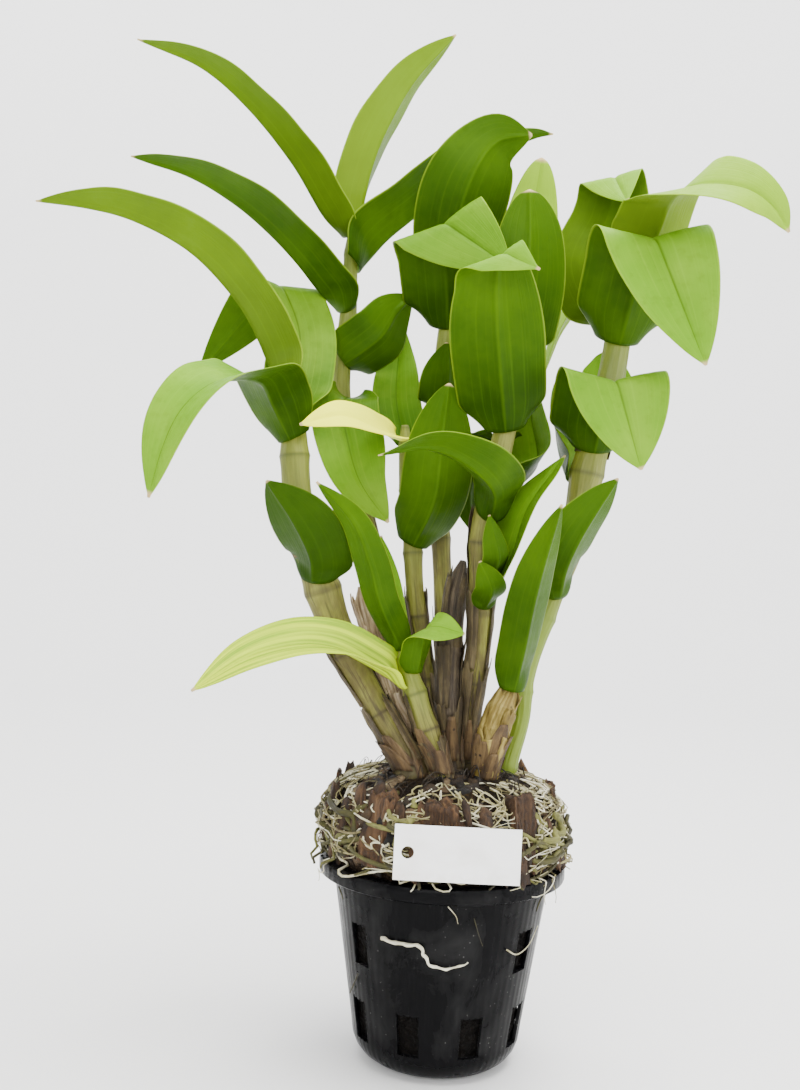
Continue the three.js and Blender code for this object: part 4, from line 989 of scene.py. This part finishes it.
def cane_surface(name, rows, columns):
    """Points of a cane's skin, with its nodes: at each node a low swelling and a sharp ring, between them
    a slight waist, and round it fine ribs, as shares of the radius."""
    axis, radius = cane_line(name, rows)
    far = np.concatenate([[0], np.cumsum(np.linalg.norm(np.diff(axis, axis=0), axis=1))])
    spacing = CANE_NODES[name]
    phase = (far / spacing + 0.35 * len(name)) % 1
    near = np.minimum(phase, 1 - phase) * spacing
    swell = 0.07 * np.exp(-(near / 2.6) ** 2) - 0.05 * np.sin(math.pi * phase) ** 2
    ring = np.exp(-(near / 0.55) ** 2)
    turn = TURN * np.arange(columns) / columns
    ribs = 0.012 * np.sin(17 * turn) + 0.01 * np.sin(29 * turn + 1) + 0.012 * np.sin(11 * turn + 2)
    along = unit(np.gradient(axis, axis=0))
    first = unit(np.cross(along, [0.0, 1.0, 0.0]))
    second = np.cross(along, first)
    bend = 0.03 * wavy(far[:, None] * 0.3, 6 * np.cos(turn), 6 * np.sin(turn), 9, len(name) + 70)
    size = radius[:, None] * (1 + swell[:, None] + ribs * (1 - 0.6 * ring[:, None]) + bend)
    size = size + 0.25 * ring[:, None]
    size[-8:] *= np.linspace(1, 0.35, 8)[:, None] ** 0.7
    points = axis[:, None] + size[..., None] * (first[:, None] * np.cos(turn)[:, None]
                                                + second[:, None] * np.sin(turn)[:, None])
    return points, axis, far, near, turn


def make_canes(living, dry, dark, bulb):
    """Every cane is its own closed tube."""
    rows, columns = 150, 40
    for name in CANES:
        points, axis, far, near, turn = cane_surface(name, rows, columns)
        across = np.vstack([pairs(turn / TURN, (far / 40)[:, None]), [[0, 0], [0, far[-1] / 40]]])
        ring = np.repeat(np.exp(-(near / 0.8) ** 2), columns)
        share = far / far[-1]
        if name not in YOUNG_FOOT:
            ring = np.maximum(ring, np.repeat(1 - ease((share - 0.08) / 0.14), columns))
        ring = np.append(ring, [0, 0])
        old, green = CANE_AGE[name]
        age = np.repeat(old * (1 - ease((share - 0.35) / 0.5)) + 0.1, columns)
        low_green = YOUNG_FOOT.get(name, 0) * (1 - ease((share - 0.32) / 0.15))
        fresh = np.repeat(green * ease((share - 0.45) / 0.4) + low_green, columns)
        grown = Grown()
        grown.add(np.vstack([points.reshape(-1, 3), axis[[0, -1]]]), capped_tube(rows, columns), across,
                  ring=ring, age=np.append(age, [old, 0]), green=np.append(fresh, [0, green]))
        finish = {"papery_stub": dry, "dry_old": dark, "new_shoot": bulb}.get(name, living)
        slot = "dry_sheath" if name in ("papery_stub", "dry_old") else "cane"
        grown.piece(f"stem_{name}", finish, slot, f"cane_{name}")


def make_husks(dry, bulb, brown):
    """Papery sleeves on the canes. A sleeve follows the cane's skin from one share of its length to another,
    stands off a little more towards its torn upper edge, and wraps only part of the way round."""
    chance = np.random.default_rng(23)
    rows, columns = 30, 26
    kinds = {"papery_stub": "dry", "new_shoot": "bulb"}
    for kind, finish in (("dry", dry), ("bulb", bulb), ("brown", brown)):
        grown = Grown()
        for name, low, high, middle, wide, flare in HUSKS:
            if kinds.get(name, "brown") != kind:
                continue
            axis, radius = cane_line(name, 200)
            share = np.linspace(0, 1, 200)
            turn = math.radians(middle) + math.radians(wide) * np.linspace(-1, 1, columns)
            torn = 0.10 * wavy(6 * np.cos(turn), 6 * np.sin(turn), turn * 0, 2.2, int(chance.integers(1000)))
            up = np.linspace(0, 1, rows)[:, None]
            place = low + (high - low) * up * (1 + torn)
            centre = read_off(place, share, axis)
            along = unit(read_off(place, share, np.gradient(axis, axis=0)))
            first = unit(np.cross(along, [0.0, 1.0, 0.0]))
            second = np.cross(along, first)
            off = 0.35 + flare * up ** 2.5 + 0.22 * wavy(8 * np.cos(turn), 8 * np.sin(turn), up * 9, 3, 5)
            off = off + 0.5 * (np.abs(np.linspace(-1, 1, columns)) ** 6) * up
            size = np.interp(place, share, radius) * 1.04 + off
            ring = first * np.cos(turn)[:, None] + second * np.sin(turn)[:, None]
            front, behind = (centre + (size[..., None] - thick) * ring for thick in (0, 0.22))
            add_shell(grown, front, behind, pairs(turn / TURN, place * 3), tone=chance.random())
        grown.piece(f"husks_{kind}", finish, "cane" if kind == "bulb" else "dry_sheath")


def make_foot_scales(finish):
    """Short torn scales round the foot of every cane: each is a narrow sleeve that leans out as it rises."""
    chance = np.random.default_rng(31)
    rows, columns = 10, 9
    grown = Grown()
    for name in CANES:
        if name in YOUNG_FOOT:
            continue
        axis, radius = cane_line(name, 160)
        share = np.linspace(0, 1, 160)
        length = np.linalg.norm(np.diff(axis, axis=0), axis=1).sum()
        for _ in range(9):
            middle = chance.uniform(0, TURN)
            low = (CANE_SINK - 2 + chance.uniform(0, 9)) / length
            tall = chance.uniform(7, 17) / length
            wide = math.radians(chance.uniform(22, 60))
            up = np.linspace(0, 1, rows)[:, None]
            turn = middle + wide * np.linspace(-1, 1, columns)[None] * (1 - 0.75 * up ** 1.5)
            place = low + tall * up * (1 + 0.2 * chance.normal())
            centre = read_off(place, share, axis)
            off = 0.6 + chance.uniform(0.6, 2.6) * up ** 2
            size = np.interp(place, share, radius) * 1.05 + off
            ring = np.stack([np.cos(turn), np.sin(turn), turn * 0], -1)
            front, behind = (centre + (size[..., None] - thick) * ring for thick in (0, 0.25))
            add_shell(grown, front, behind, pairs(turn / TURN, place * 3), tone=chance.random())
    grown.piece("foot_scales", finish, "dry_sheath")


def add_shell(grown, front, behind, across, **values):
    """Adds a thin closed sheet: the front grid, the grid behind it turned round, and a strip round the rim."""
    rows, columns, _ = front.shape
    size = rows * columns
    sheet = grid_faces(rows, columns, False)
    number = np.arange(size).reshape(rows, columns)
    rim = np.concatenate([number[0], number[1:, -1], number[-1, -2::-1], number[-2:0:-1, 0]])
    after = np.roll(rim, -1)
    strip = np.stack([rim, rim + size, after + size, after], 1)
    grown.add(np.vstack([front.reshape(-1, 3), behind.reshape(-1, 3)]),
              [sheet, sheet[:, ::-1] + size, strip], np.vstack([across, across]), **values)


# Leaves

def leaf_outline(share, blunt):
    """Half width as a share of the widest: a quick sine rise from the foot, then a long fall to the tip."""
    rise = 0.6 + 0.4 * np.sin(math.pi / 2 * np.minimum(1, share / 0.14))
    fall = np.clip((share - 0.35) / 0.65, 0, 1)
    return rise * (1 - fall ** 2.2) ** (0.9 * blunt)


def leaf_line(leaf):
    """Foot on the cane's skin, then the midrib points, then the straight tail if the leaf has one."""
    cane = CANES[leaf["cane"]]
    count = len(cane["at"])
    place = np.linspace(0, count - 1, CANE_SAMPLES + 1)
    curve = spline(cane["at"], place)
    best = int(np.argmin(np.abs(curve[:, 2] - leaf["z"])))
    radius = np.interp(place[best], np.arange(count), cane["radius"])
    reach = radius + LEAF_OFF
    out = math.radians(leaf["out"])
    foot = curve[best] + reach * np.array([math.cos(out), math.sin(out), 0])
    line = [foot] + [np.array(point, float) for point in leaf["mid"]]
    if "tail" in leaf:
        ahead = unit(line[-1] - line[-2])
        line += [line[-1] + ahead * leaf["tail"] / 2, line[-1] + ahead * leaf["tail"]]
    return np.array(line), reach


def fold_over(points, centre, side, along, slant, angle, radius):
    """Past a slanted line every point is wrapped round a cylinder, away from the face turned to the cane."""
    line = side * math.cos(math.radians(slant)) + along * math.sin(math.radians(slant))
    ahead = unit(along - line * np.dot(line, along))
    face = np.cross(ahead, line)
    offset = points - centre
    past = offset @ ahead
    height = offset @ face
    most = math.radians(angle)
    turn = np.minimum(past / radius, most)
    rest = np.maximum(past - radius * most, 0)
    forward = (radius + height) * np.sin(turn) + rest * np.cos(turn)
    outward = (radius + height) * np.cos(turn) - radius - rest * np.sin(turn)
    wrapped = (centre + (offset @ line)[..., None] * line + forward[..., None] * ahead
               + outward[..., None] * face)
    return np.where((past > 0)[..., None], wrapped, points)


def leaf_blade(name, leaf):
    """The blade's middle surface. Its rows are arcs across the midrib: each half leaves the midrib at the
    fold's angle and bends on by the curl, and the margin waves a little. Then the folds are wrapped."""
    line, reach = leaf_line(leaf)
    length = np.linalg.norm(np.diff(smooth_path(line, 200)[0], axis=0), axis=1).sum()
    rows = int(np.clip(length / 1.4, 30, 100))
    columns = 2 * int(np.clip(leaf["half"] / 0.95, 7, 20)) + 1
    centre, _ = smooth_path(line, rows)
    along = unit(np.gradient(centre, axis=0))
    out = math.radians(leaf["out"])
    side = np.cross([0.0, 0.0, 1.0], [math.cos(out), math.sin(out), 0.0])
    sides = np.empty_like(centre)
    for row in range(rows):
        side = unit(side - along[row] * np.dot(side, along[row]))
        sides[row] = side
    faces = np.cross(along, sides)
    share = np.linspace(0, 1, rows)[:, None]
    roll = np.radians(mixed(*leaf.get("roll", (0, 0)), share))
    sides, faces = sides * np.cos(roll) + faces * np.sin(roll), faces * np.cos(roll) - sides * np.sin(roll)
    width = np.maximum(leaf["half"] * leaf_outline(share, leaf.get("blunt", 1)), 0.5)
    free = ease(share / 0.12)
    easing = share ** 0.6
    fold = free * np.radians(mixed(*leaf.get("fold", (45, 12)), easing))
    curl = np.radians(mixed(*leaf.get("curl", (10, -10)), easing))
    curl = mixed(min(1.4, 0.6 * leaf["half"] / reach), curl, free)
    curl = np.where(np.abs(curl) < 0.001, 0.001, curl)
    across = np.linspace(-1, 1, columns)[None]
    bend = fold + curl * np.abs(across)
    sideways = width * (np.sin(bend) - np.sin(fold)) / curl * np.sign(across)
    lift = width * (np.cos(fold) - np.cos(bend)) / curl
    phase = sum(ord(letter) for letter in name) * 1.7
    wave = np.sin(share * length / 8.5 + phase + np.sign(across))
    wave = wave + 0.6 * np.sin(share * length / 3.9 + 2 * phase)
    lift = lift + 0.35 * wave * np.abs(across) ** 2.5 * free * np.minimum(width / 10, 1)
    lift = lift - 0.55 * np.exp(-(across * width / 0.9) ** 2) * free * np.minimum(width / 6, 1)
    points = centre[:, None] + sides[:, None] * sideways[..., None] + faces[:, None] * lift[..., None]
    for distance, slant, angle, radius in reversed(leaf.get("over", [])):
        row = distance / length * (rows - 1)
        at, side, ahead = (read_off(row, np.arange(rows), part) for part in (centre, sides, along))
        points = fold_over(points, at, unit(side), unit(ahead), slant, angle, radius)
    return points, share, across, length


def make_leaves(finish, pale):
    """Each leaf is a closed blade about 0.7 mm thick at the midrib and thin at its margin."""
    for name, leaf in LEAVES.items():
        middle, share, across, length = leaf_blade(name, leaf)
        rows, columns, _ = middle.shape
        normal = unit(np.cross(np.gradient(middle, axis=0), np.gradient(middle, axis=1)))
        half = 0.36 * (1 - 0.6 * np.abs(across) ** 3) * (1 - 0.35 * share)
        inner = middle + normal * half[..., None]
        outer = middle - normal * half[..., None]
        place = pairs((across + 1) / 2, share)
        # tone sets how little painted shade darkens the leaf, sun how much painted light brightens it
        tone, sun, variegated = LEAF_TONES.get(name, (1.0, 0.0, 0.0))
        grown = Grown()
        add_shell(grown, inner, outer, place, upper=np.repeat([1.0, 0.0], rows * columns), tone=tone, sun=sun,
                  variegated=variegated)
        material, slot = (pale, "pale_leaf") if leaf.get("pale") else (finish, "leaf")
        grown.piece(f"blade_{name}", material, slot, f"leaf_{name}")


# Card

def make_card(finish):
    """A bare white card with one punched hole. Round the hole, rays run to the card's straight edges, and
    the rows lie at shares of each ray; the card is bowed by a slight arc."""
    width, height, hole = CARD["width"], CARD["height"], CARD["hole"]
    middle = np.array([-width / 2 + 5, 0.0])
    corners = np.array([[sx * width / 2, sz * height / 2] for sx in (-1, 1) for sz in (-1, 1)]) - middle
    turn = np.sort(np.concatenate([TURN * np.arange(96) / 96, np.arctan2(corners[:, 1], corners[:, 0]) % TURN]))
    turn = turn[np.insert(np.diff(turn) > 1e-6, 0, True)]
    heading = np.stack([np.cos(turn), np.sin(turn)], 1)
    with np.errstate(divide="ignore"):
        reach_x = np.where(heading[:, 0] > 0, width / 2 - middle[0], -width / 2 - middle[0]) / heading[:, 0]
        reach_z = np.where(heading[:, 1] > 0, height / 2, -height / 2) / heading[:, 1]
    reach = np.minimum(np.where(np.abs(heading[:, 0]) < 1e-9, 1e9, reach_x),
                       np.where(np.abs(heading[:, 1]) < 1e-9, 1e9, reach_z))
    rows = np.linspace(0, 1, 14)[:, None] ** 1.3
    flat = middle + heading * (hole + (reach - hole) * rows)[..., None]
    bow = 0.5 * (flat[..., 0] / (width / 2)) ** 2 - 0.25 + 0.12 * np.sin(flat[..., 1] / 6)
    tilt = math.radians(CARD["tilt"])
    x, z = flat[..., 0], flat[..., 1]
    sheets = []
    for off in (-CARD["thickness"] / 2, CARD["thickness"] / 2):
        sheets.append(np.stack([x * math.cos(tilt) + z * math.sin(tilt), bow * 0.6 + off,
                                z * math.cos(tilt) - x * math.sin(tilt)], -1) + np.array(CARD["centre"]))
    count, columns = len(rows), len(turn)
    size = count * columns
    front = grid_faces(count, columns, True)
    around, after = np.arange(columns), (np.arange(columns) + 1) % columns
    last = (count - 1) * columns
    faces = [front, front[:, ::-1] + size,
             np.stack([around, after, after + size, around + size], 1)[:, ::-1],
             np.stack([last + around, last + after, last + after + size, last + around + size], 1)]
    across = pairs(x / width, z / width)
    grown = Grown()
    grown.add(np.vstack([sheet.reshape(-1, 3) for sheet in sheets]), faces, np.vstack([across, across]))
    grown.piece("name_card", finish, "label_card", "label_card", sharp=40)


def card_finish(name, settings):
    """White plastic card: matt, faintly mottled, a little grubby along its edges."""
    finish = Finish(name, IOR=1.45)
    mottle = finish.noise(finish.place(), 260.0, 5.0, 0.6)
    smear = finish.noise(finish.place((1, 1, 1.4)), 55.0, 3.0)
    high = finish.part(finish.place(), 2)
    low = finish.between(high, 0.0835, 0.0875, 0.3, 0.0)
    skin = finish.blend(finish.between(smear, 0.45, 0.75, 0.0, 0.35) + low * finish.between(mottle, 0.4, 0.7),
                        settings.card, settings.grime)
    return finish.coat(skin, finish.between(mottle, 0.3, 0.7, 0.42, 0.56), mottle, 0.0003, 0.2)


def mix_finish(name, settings):
    """Potting mix: dark crumbs and coir between the chips, with brown and moss-green specks, and painted shade
    that turns it near black inside the pot.
    """
    finish = Finish(name, IOR=1.4, Specular_IOR_Level=0.15)
    crumb = finish.cells(finish.place(), 520.0)
    damp = finish.noise(finish.place(), 90.0, 6.0, 0.65)
    fibre = finish.noise(finish.place((1, 1, 0.4)), 420.0, 5.0, 0.7, 1.0)
    skin = finish.ramp(damp * 0.5 + fibre * 0.5, (0.36, settings.damp), (0.5, settings.mix),
                       (0.66, settings.chip))
    skin = finish.blend(finish.between(crumb, 0.3, 0.6, 0.0, 0.6), skin, settings.damp)
    skin = finish.blend(finish.between(damp, 0.58, 0.7, 0.0, 0.4), skin, settings.moss)
    # Painted shade: the mix turns near black inside the pot, below about 70 to 78 mm
    inside = finish.between(finish.part(finish.place(), 2), 0.070, 0.078, 0.92, 0.0)
    skin = finish.blend(inside, skin, (0.001, 0.0008, 0.0007))
    return finish.coat(skin, finish.between(fibre, 0.3, 0.7, 0.7, 0.92), crumb + fibre, 0.0018, 0.9)


def chip_finish(name, settings):
    """Husk chips from near black to tan, each with its own shade and long fibres."""
    finish = Finish(name, IOR=1.4)
    fibre = finish.noise(finish.place((1, 1, 0.3)), 500.0, 5.0, 0.7, 0.6)
    tone = finish.value("tone")
    skin = finish.ramp(tone * 0.62 + fibre * 0.38, (0.3, settings.damp), (0.52, settings.mix),
                       (0.72, settings.chip), (0.88, settings.chip_light))
    return finish.coat(skin, finish.between(fibre, 0.3, 0.7, 0.65, 0.9), fibre, 0.0014, 0.9)


# Floor, light and camera

def make_stage(settings):
    """A pale round floor that turns up into a wall all round through a quarter round, soft lights, and the
    camera at the photograph's place: level with the stems, tipped up a little and rolled."""
    wall, bend, high = settings.wall * 1000, 900.0, 2600.0
    arc = np.linspace(0, math.pi / 2, 24)
    reach = np.concatenate([[5, 600], wall - bend + bend * np.sin(arc), [wall]])
    height = np.concatenate([[0, 0], bend - bend * np.cos(arc), [high]])
    turn = TURN * np.arange(72) / 72
    points = round_axis(reach[:, None], turn, height[:, None])
    finish = Finish("pale_paper", IOR=1.4)
    grain = finish.noise(finish.place(), 900.0, 4.0)
    paper = finish.blend(finish.between(grain, 0.3, 0.7, 0.0, 0.05), settings.paper, (0.5, 0.5, 0.5))
    mesh = bpy.data.meshes.new("studio_sweep")
    quads = grid_faces(len(reach), len(turn), True)
    mesh.from_pydata((points.reshape(-1, 3) * MM).tolist(), [], quads.tolist())
    mesh.shade_smooth()
    mesh.materials.append(finish.coat(paper, finish.between(grain, 0.3, 0.7, 0.75, 0.85), grain, 0.0002, 0.1))
    sweep = bpy.data.objects.new("studio_sweep", mesh)
    bpy.context.collection.objects.link(sweep)

    for name, place, size, aim, power, tint in LIGHTS:
        lamp = bpy.data.lights.new(name, "AREA")
        lamp.shape = "RECTANGLE"
        lamp.size, lamp.size_y = size
        lamp.energy = power * settings.light
        lamp.color = tint
        thing = bpy.data.objects.new(name, lamp)
        thing.rotation_mode = "QUATERNION"
        thing.rotation_quaternion = (Vector(aim) - Vector(place)).to_track_quat("-Z", "Y")
        thing.location = place
        bpy.context.collection.objects.link(thing)

    world = bpy.data.worlds.new("soft_room")
    world.use_nodes = True
    sky = next(node for node in world.node_tree.nodes if node.type == "BACKGROUND")
    sky.inputs["Color"].default_value = (1.0, 1.0, 1.0, 1)
    sky.inputs["Strength"].default_value = settings.room
    bpy.context.scene.world = world

    lens = bpy.data.cameras.new("view")
    lens.lens, lens.sensor_width = CAMERA["lens"], 36.0
    lens.clip_start, lens.clip_end = 0.02, 20.0
    camera = bpy.data.objects.new("view", lens)
    pitch, roll = math.radians(CAMERA["pitch"]), math.radians(CAMERA["roll"])
    right = np.array([1.0, 0.0, 0.0])
    forward = np.array([0.0, math.cos(pitch), math.sin(pitch)])
    up = np.cross(right, forward)
    side = right * math.cos(roll) + up * math.sin(roll)
    top = up * math.cos(roll) - right * math.sin(roll)
    turned = Matrix(np.array([side, top, -forward]).T.tolist())
    camera.rotation_mode = "QUATERNION"
    camera.rotation_quaternion = turned.to_quaternion()
    camera.location = CAMERA["place"]
    bpy.context.collection.objects.link(camera)
    bpy.context.scene.camera = camera


# The camera's focal length in millimetres, its tip and roll in degrees, and its place in metres

CAMERA = dict(lens=38.1, pitch=0.9, roll=2.3, place=(-0.022, -0.470, 0.197))

# Lights: name, place, size, the point each looks at, power in watts and tint

LIGHTS = [
    ("window_overhead", (0.15, -0.15, 1.25), (1.0, 0.8), (0.0, 0.0, 0.2), 38.0, (1.0, 0.99, 0.96)),
    ("front_soft", (-0.3, -1.7, 0.75), (1.4, 1.0), (0.0, 0.0, 0.15), 25.0, (1.0, 1.0, 1.0)),
    ("fill_right", (1.3, -0.4, 0.35), (0.8, 1.0), (0.0, 0.0, 0.12), 14.0, (1.0, 1.0, 1.0)),
    ("wall_wash", (0.0, 0.9, 1.9), (2.4, 0.5), (0.0, 1.9, 0.5), 70.0, (1.0, 1.0, 1.0)),
]


# Settings that a user may change

def colour(name, description, *value):
    return FloatVectorProperty(name=name, description=description, default=value, subtype="COLOR", size=3,
                               min=0, max=1)


class PotSettings(bpy.types.PropertyGroup):
    """Finish of the pot and of the card."""

    plastic: colour("Plastic", "Clean black plastic", 0.0022, 0.0022, 0.0026)
    dust: colour("Dust", "Dust and scuffs on the plastic", 0.024, 0.024, 0.024)
    splash: colour("Splashes", "Dried splashes of lime on the plastic", 0.20, 0.20, 0.19)
    card: colour("Card", "Bare card", 0.96, 0.96, 0.955)
    grime: colour("Grime", "Marks on the card", 0.62, 0.58, 0.50)


class MixSettings(bpy.types.PropertyGroup):
    """Potting mix, bark and roots."""

    chips: IntProperty(name="Chips", description="How many husk chips lie on the root ball", default=900, min=1)
    slivers: IntProperty(name="Slivers", description="How many upright splinters of bark", default=84, min=1)
    olive_roots: IntProperty(name="Olive roots", description="How many thick olive roots", default=54, min=3)
    pale_roots: IntProperty(name="Pale roots", description="How many fine pale roots", default=104, min=8)
    damp: colour("Damp", "Wet mix in the gaps", 0.0035, 0.0022, 0.0014)
    mix: colour("Mix", "Potting mix", 0.017, 0.010, 0.005)
    chip: colour("Chip", "Husk chips", 0.055, 0.032, 0.013)
    chip_light: colour("Light chip", "Bleached chips", 0.20, 0.145, 0.080)
    moss: colour("Moss", "Moss and algae", 0.030, 0.036, 0.006)
    crack: colour("Cracks", "Cracks in the bark", 0.005, 0.0024, 0.0014)
    bark: colour("Bark", "Body of the bark", 0.032, 0.0145, 0.0048)
    ridge: colour("Ridges", "Worn ridges of the bark", 0.085, 0.042, 0.016)
    dust: colour("Cork dust", "Pale cork on the ridges", 0.18, 0.105, 0.045)


class CaneSettings(bpy.types.PropertyGroup):
    """Colours of the canes."""

    skin: colour("Skin", "Olive skin of a living cane", 0.115, 0.115, 0.010)
    bloom: colour("Bloom", "Waxy pale bloom", 0.240, 0.235, 0.034)
    groove: colour("Grooves", "Between the ribs", 0.050, 0.052, 0.004)
    husk: colour("Husk", "Bleached skin", 0.085, 0.067, 0.016)
    brown: colour("Brown", "Node rings and dead skin", 0.030, 0.019, 0.005)
    young: colour("Young", "Fresh green skin", 0.150, 0.230, 0.006)


class LeafSettings(bpy.types.PropertyGroup):
    """Colours of the leaves."""

    # Outer and inner face colours: partly the faces' own colours, partly painted shade outside and painted
    # light inside
    outer: colour("Outer face", "Face turned away from the cane", 0.040, 0.100, 0.0)
    outer_light: colour("Outer light", "Paler patches of the outer face", 0.084, 0.185, 0.0)
    # Painted shade near the cane
    outer_foot: colour("Outer foot", "Outer face near the cane", 0.014, 0.042, 0.0)
    inner: colour("Inner face", "Face turned to the cane", 0.130, 0.300, 0.006)
    inner_light: colour("Inner light", "Paler patches of the inner face", 0.270, 0.460, 0.026)
    # Painted shade near the cane
    inner_foot: colour("Inner foot", "Inner face near the cane", 0.044, 0.125, 0.001)
    # Painted light laid over whole leaves by their sun share
    painted_sunlight: colour("Sunlit", "Bleached by the sun", 0.36, 0.54, 0.02)
    # Deep green, also the painted shade laid over whole leaves by their tone
    shade: colour("Shade", "Deep green", 0.010, 0.030, 0.0003)
    margin: colour("Margin", "Thin bright margin", 0.38, 0.55, 0.03)
    variegated: colour("Variegation", "Yellow bands of one leaf", 0.80, 0.94, 0.0)
    pale: colour("Pale leaf", "Leaf without its green", 0.96, 0.96, 0.03)
    dry_tip: colour("Dry tip", "Withered tip", 0.55, 0.42, 0.20)


class StageSettings(bpy.types.PropertyGroup):
    """Floor and light."""

    paper: colour("Paper", "Floor and wall", 0.80, 0.80, 0.80)
    wall: FloatProperty(name="Wall", description="Distance of the wall round the pot", default=2.1,
                        unit="LENGTH")
    light: FloatProperty(name="Light", description="Strength of all lamps", default=1.0, min=0)
    room: FloatProperty(name="Room light", description="Strength of the even light", default=0.36, min=0)


class PlantSettings(bpy.types.PropertyGroup):
    """Everything that can be changed on the plant."""

    pot: PointerProperty(type=PotSettings)
    mix: PointerProperty(type=MixSettings)
    canes: PointerProperty(type=CaneSettings)
    leaves: PointerProperty(type=LeafSettings)
    stage: PointerProperty(type=StageSettings)


# Operators

class ORCHID_OT_pot(bpy.types.Operator):
    """Make the slotted black pot"""

    bl_idname = "orchid.pot"
    bl_label = "Pot"

    def execute(self, context):
        make_pot(plastic_finish("black_pot_plastic", context.scene.plant.pot))
        return {"FINISHED"}


class ORCHID_OT_mix(bpy.types.Operator):
    """Make the ball of potting mix, its husk chips and the chunks of bark"""

    bl_idname = "orchid.mix"
    bl_label = "Potting mix and bark"

    def execute(self, context):
        settings = context.scene.plant.mix
        make_mix(settings, mix_finish("potting_mix", settings), chip_finish("husk_chips", settings))
        bark = bark_finish("pine_bark", settings)
        make_bark(bark)
        make_slivers(settings, bark)
        return {"FINISHED"}


class ORCHID_OT_roots(bpy.types.Operator):
    """Make the nets of olive and pale roots and the roots on the pot's wall"""

    bl_idname = "orchid.roots"
    bl_label = "Roots"

    def execute(self, context):
        olive = root_finish("olive_roots", (0.012, 0.009, 0.003), (0.055, 0.052, 0.012), (0.19, 0.19, 0.05))
        pale = root_finish("pale_roots", (0.070, 0.052, 0.020), (0.280, 0.250, 0.110), (0.740, 0.710, 0.560))
        make_roots(context.scene.plant.mix, olive, pale)
        make_wall_roots(pale, olive)
        dead = root_finish("dead_rootlets", (0.006, 0.004, 0.002), (0.022, 0.015, 0.008), (0.10, 0.08, 0.04))
        make_tangle(dead)
        return {"FINISHED"}


class ORCHID_OT_canes(bpy.types.Operator):
    """Make the canes with their nodes and papery husks"""

    bl_idname = "orchid.canes"
    bl_label = "Canes and husks"

    def execute(self, context):
        living = cane_finish("olive_cane", context.scene.plant.canes)
        dry = husk_finish("dry_husk", (0.090, 0.054, 0.026), (0.340, 0.245, 0.140), (0.640, 0.530, 0.360))
        dark = husk_finish("old_dark_cane", (0.010, 0.007, 0.004), (0.042, 0.030, 0.017), (0.150, 0.115, 0.065))
        brown = husk_finish("brown_husk", (0.010, 0.006, 0.002), (0.046, 0.032, 0.012), (0.150, 0.115, 0.050))
        bulb = husk_finish("young_bulb_husk", (0.040, 0.022, 0.003), (0.160, 0.110, 0.016),
                           (0.400, 0.320, 0.095))
        make_canes(living, dry, dark, bulb)
        make_husks(dry, bulb, brown)
        foot = husk_finish("foot_husk", (0.010, 0.005, 0.002), (0.052, 0.029, 0.010), (0.150, 0.095, 0.038))
        make_foot_scales(foot)
        return {"FINISHED"}


class ORCHID_OT_leaves(bpy.types.Operator):
    """Make the leaves"""

    bl_idname = "orchid.leaves"
    bl_label = "Leaves"

    def execute(self, context):
        settings = context.scene.plant.leaves
        make_leaves(leaf_finish("strap_leaf", settings), leaf_finish("pale_strap_leaf", settings, pale=True))
        return {"FINISHED"}


class ORCHID_OT_card(bpy.types.Operator):
    """Make the bare card that leans on the root ball"""

    bl_idname = "orchid.card"
    bl_label = "Card"

    def execute(self, context):
        make_card(card_finish("white_card", context.scene.plant.pot))
        return {"FINISHED"}


class ORCHID_OT_stage(bpy.types.Operator):
    """Make the pale floor and wall, the lights and the camera"""

    bl_idname = "orchid.stage"
    bl_label = "Floor, light and camera"

    def execute(self, context):
        make_stage(context.scene.plant.stage)
        return {"FINISHED"}


class ORCHID_PT_parts(bpy.types.Panel):
    """Lists the pieces of the plant"""

    bl_idname = "ORCHID_PT_parts"
    bl_label = "Potted orchid"
    bl_space_type = "VIEW_3D"
    bl_region_type = "UI"
    bl_category = "Orchid"

    def draw(self, context):
        for maker in MAKERS:
            self.layout.operator(maker.bl_idname)
        for group in ("pot", "mix", "canes", "leaves", "stage"):
            box = self.layout.box()
            settings = getattr(context.scene.plant, group)
            for label in settings.__annotations__:
                box.prop(settings, label)


MAKERS = (ORCHID_OT_pot, ORCHID_OT_mix, ORCHID_OT_roots, ORCHID_OT_canes, ORCHID_OT_leaves, ORCHID_OT_card,
          ORCHID_OT_stage)
GROUPS = (PotSettings, MixSettings, CaneSettings, LeafSettings, StageSettings, PlantSettings)


def register():
    for kind in (*GROUPS, *MAKERS, ORCHID_PT_parts):
        bpy.utils.register_class(kind)
    bpy.types.Scene.plant = PointerProperty(type=PlantSettings)


def unregister():
    del bpy.types.Scene.plant
    for kind in reversed((*GROUPS, *MAKERS, ORCHID_PT_parts)):
        bpy.utils.unregister_class(kind)


def main():
    register()
    bpy.ops.orchid.pot()
    bpy.ops.orchid.mix()
    bpy.ops.orchid.roots()
    bpy.ops.orchid.canes()
    bpy.ops.orchid.leaves()
    bpy.ops.orchid.card()
    bpy.ops.orchid.stage()
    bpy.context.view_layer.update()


if __name__ == "__main__":
    main()
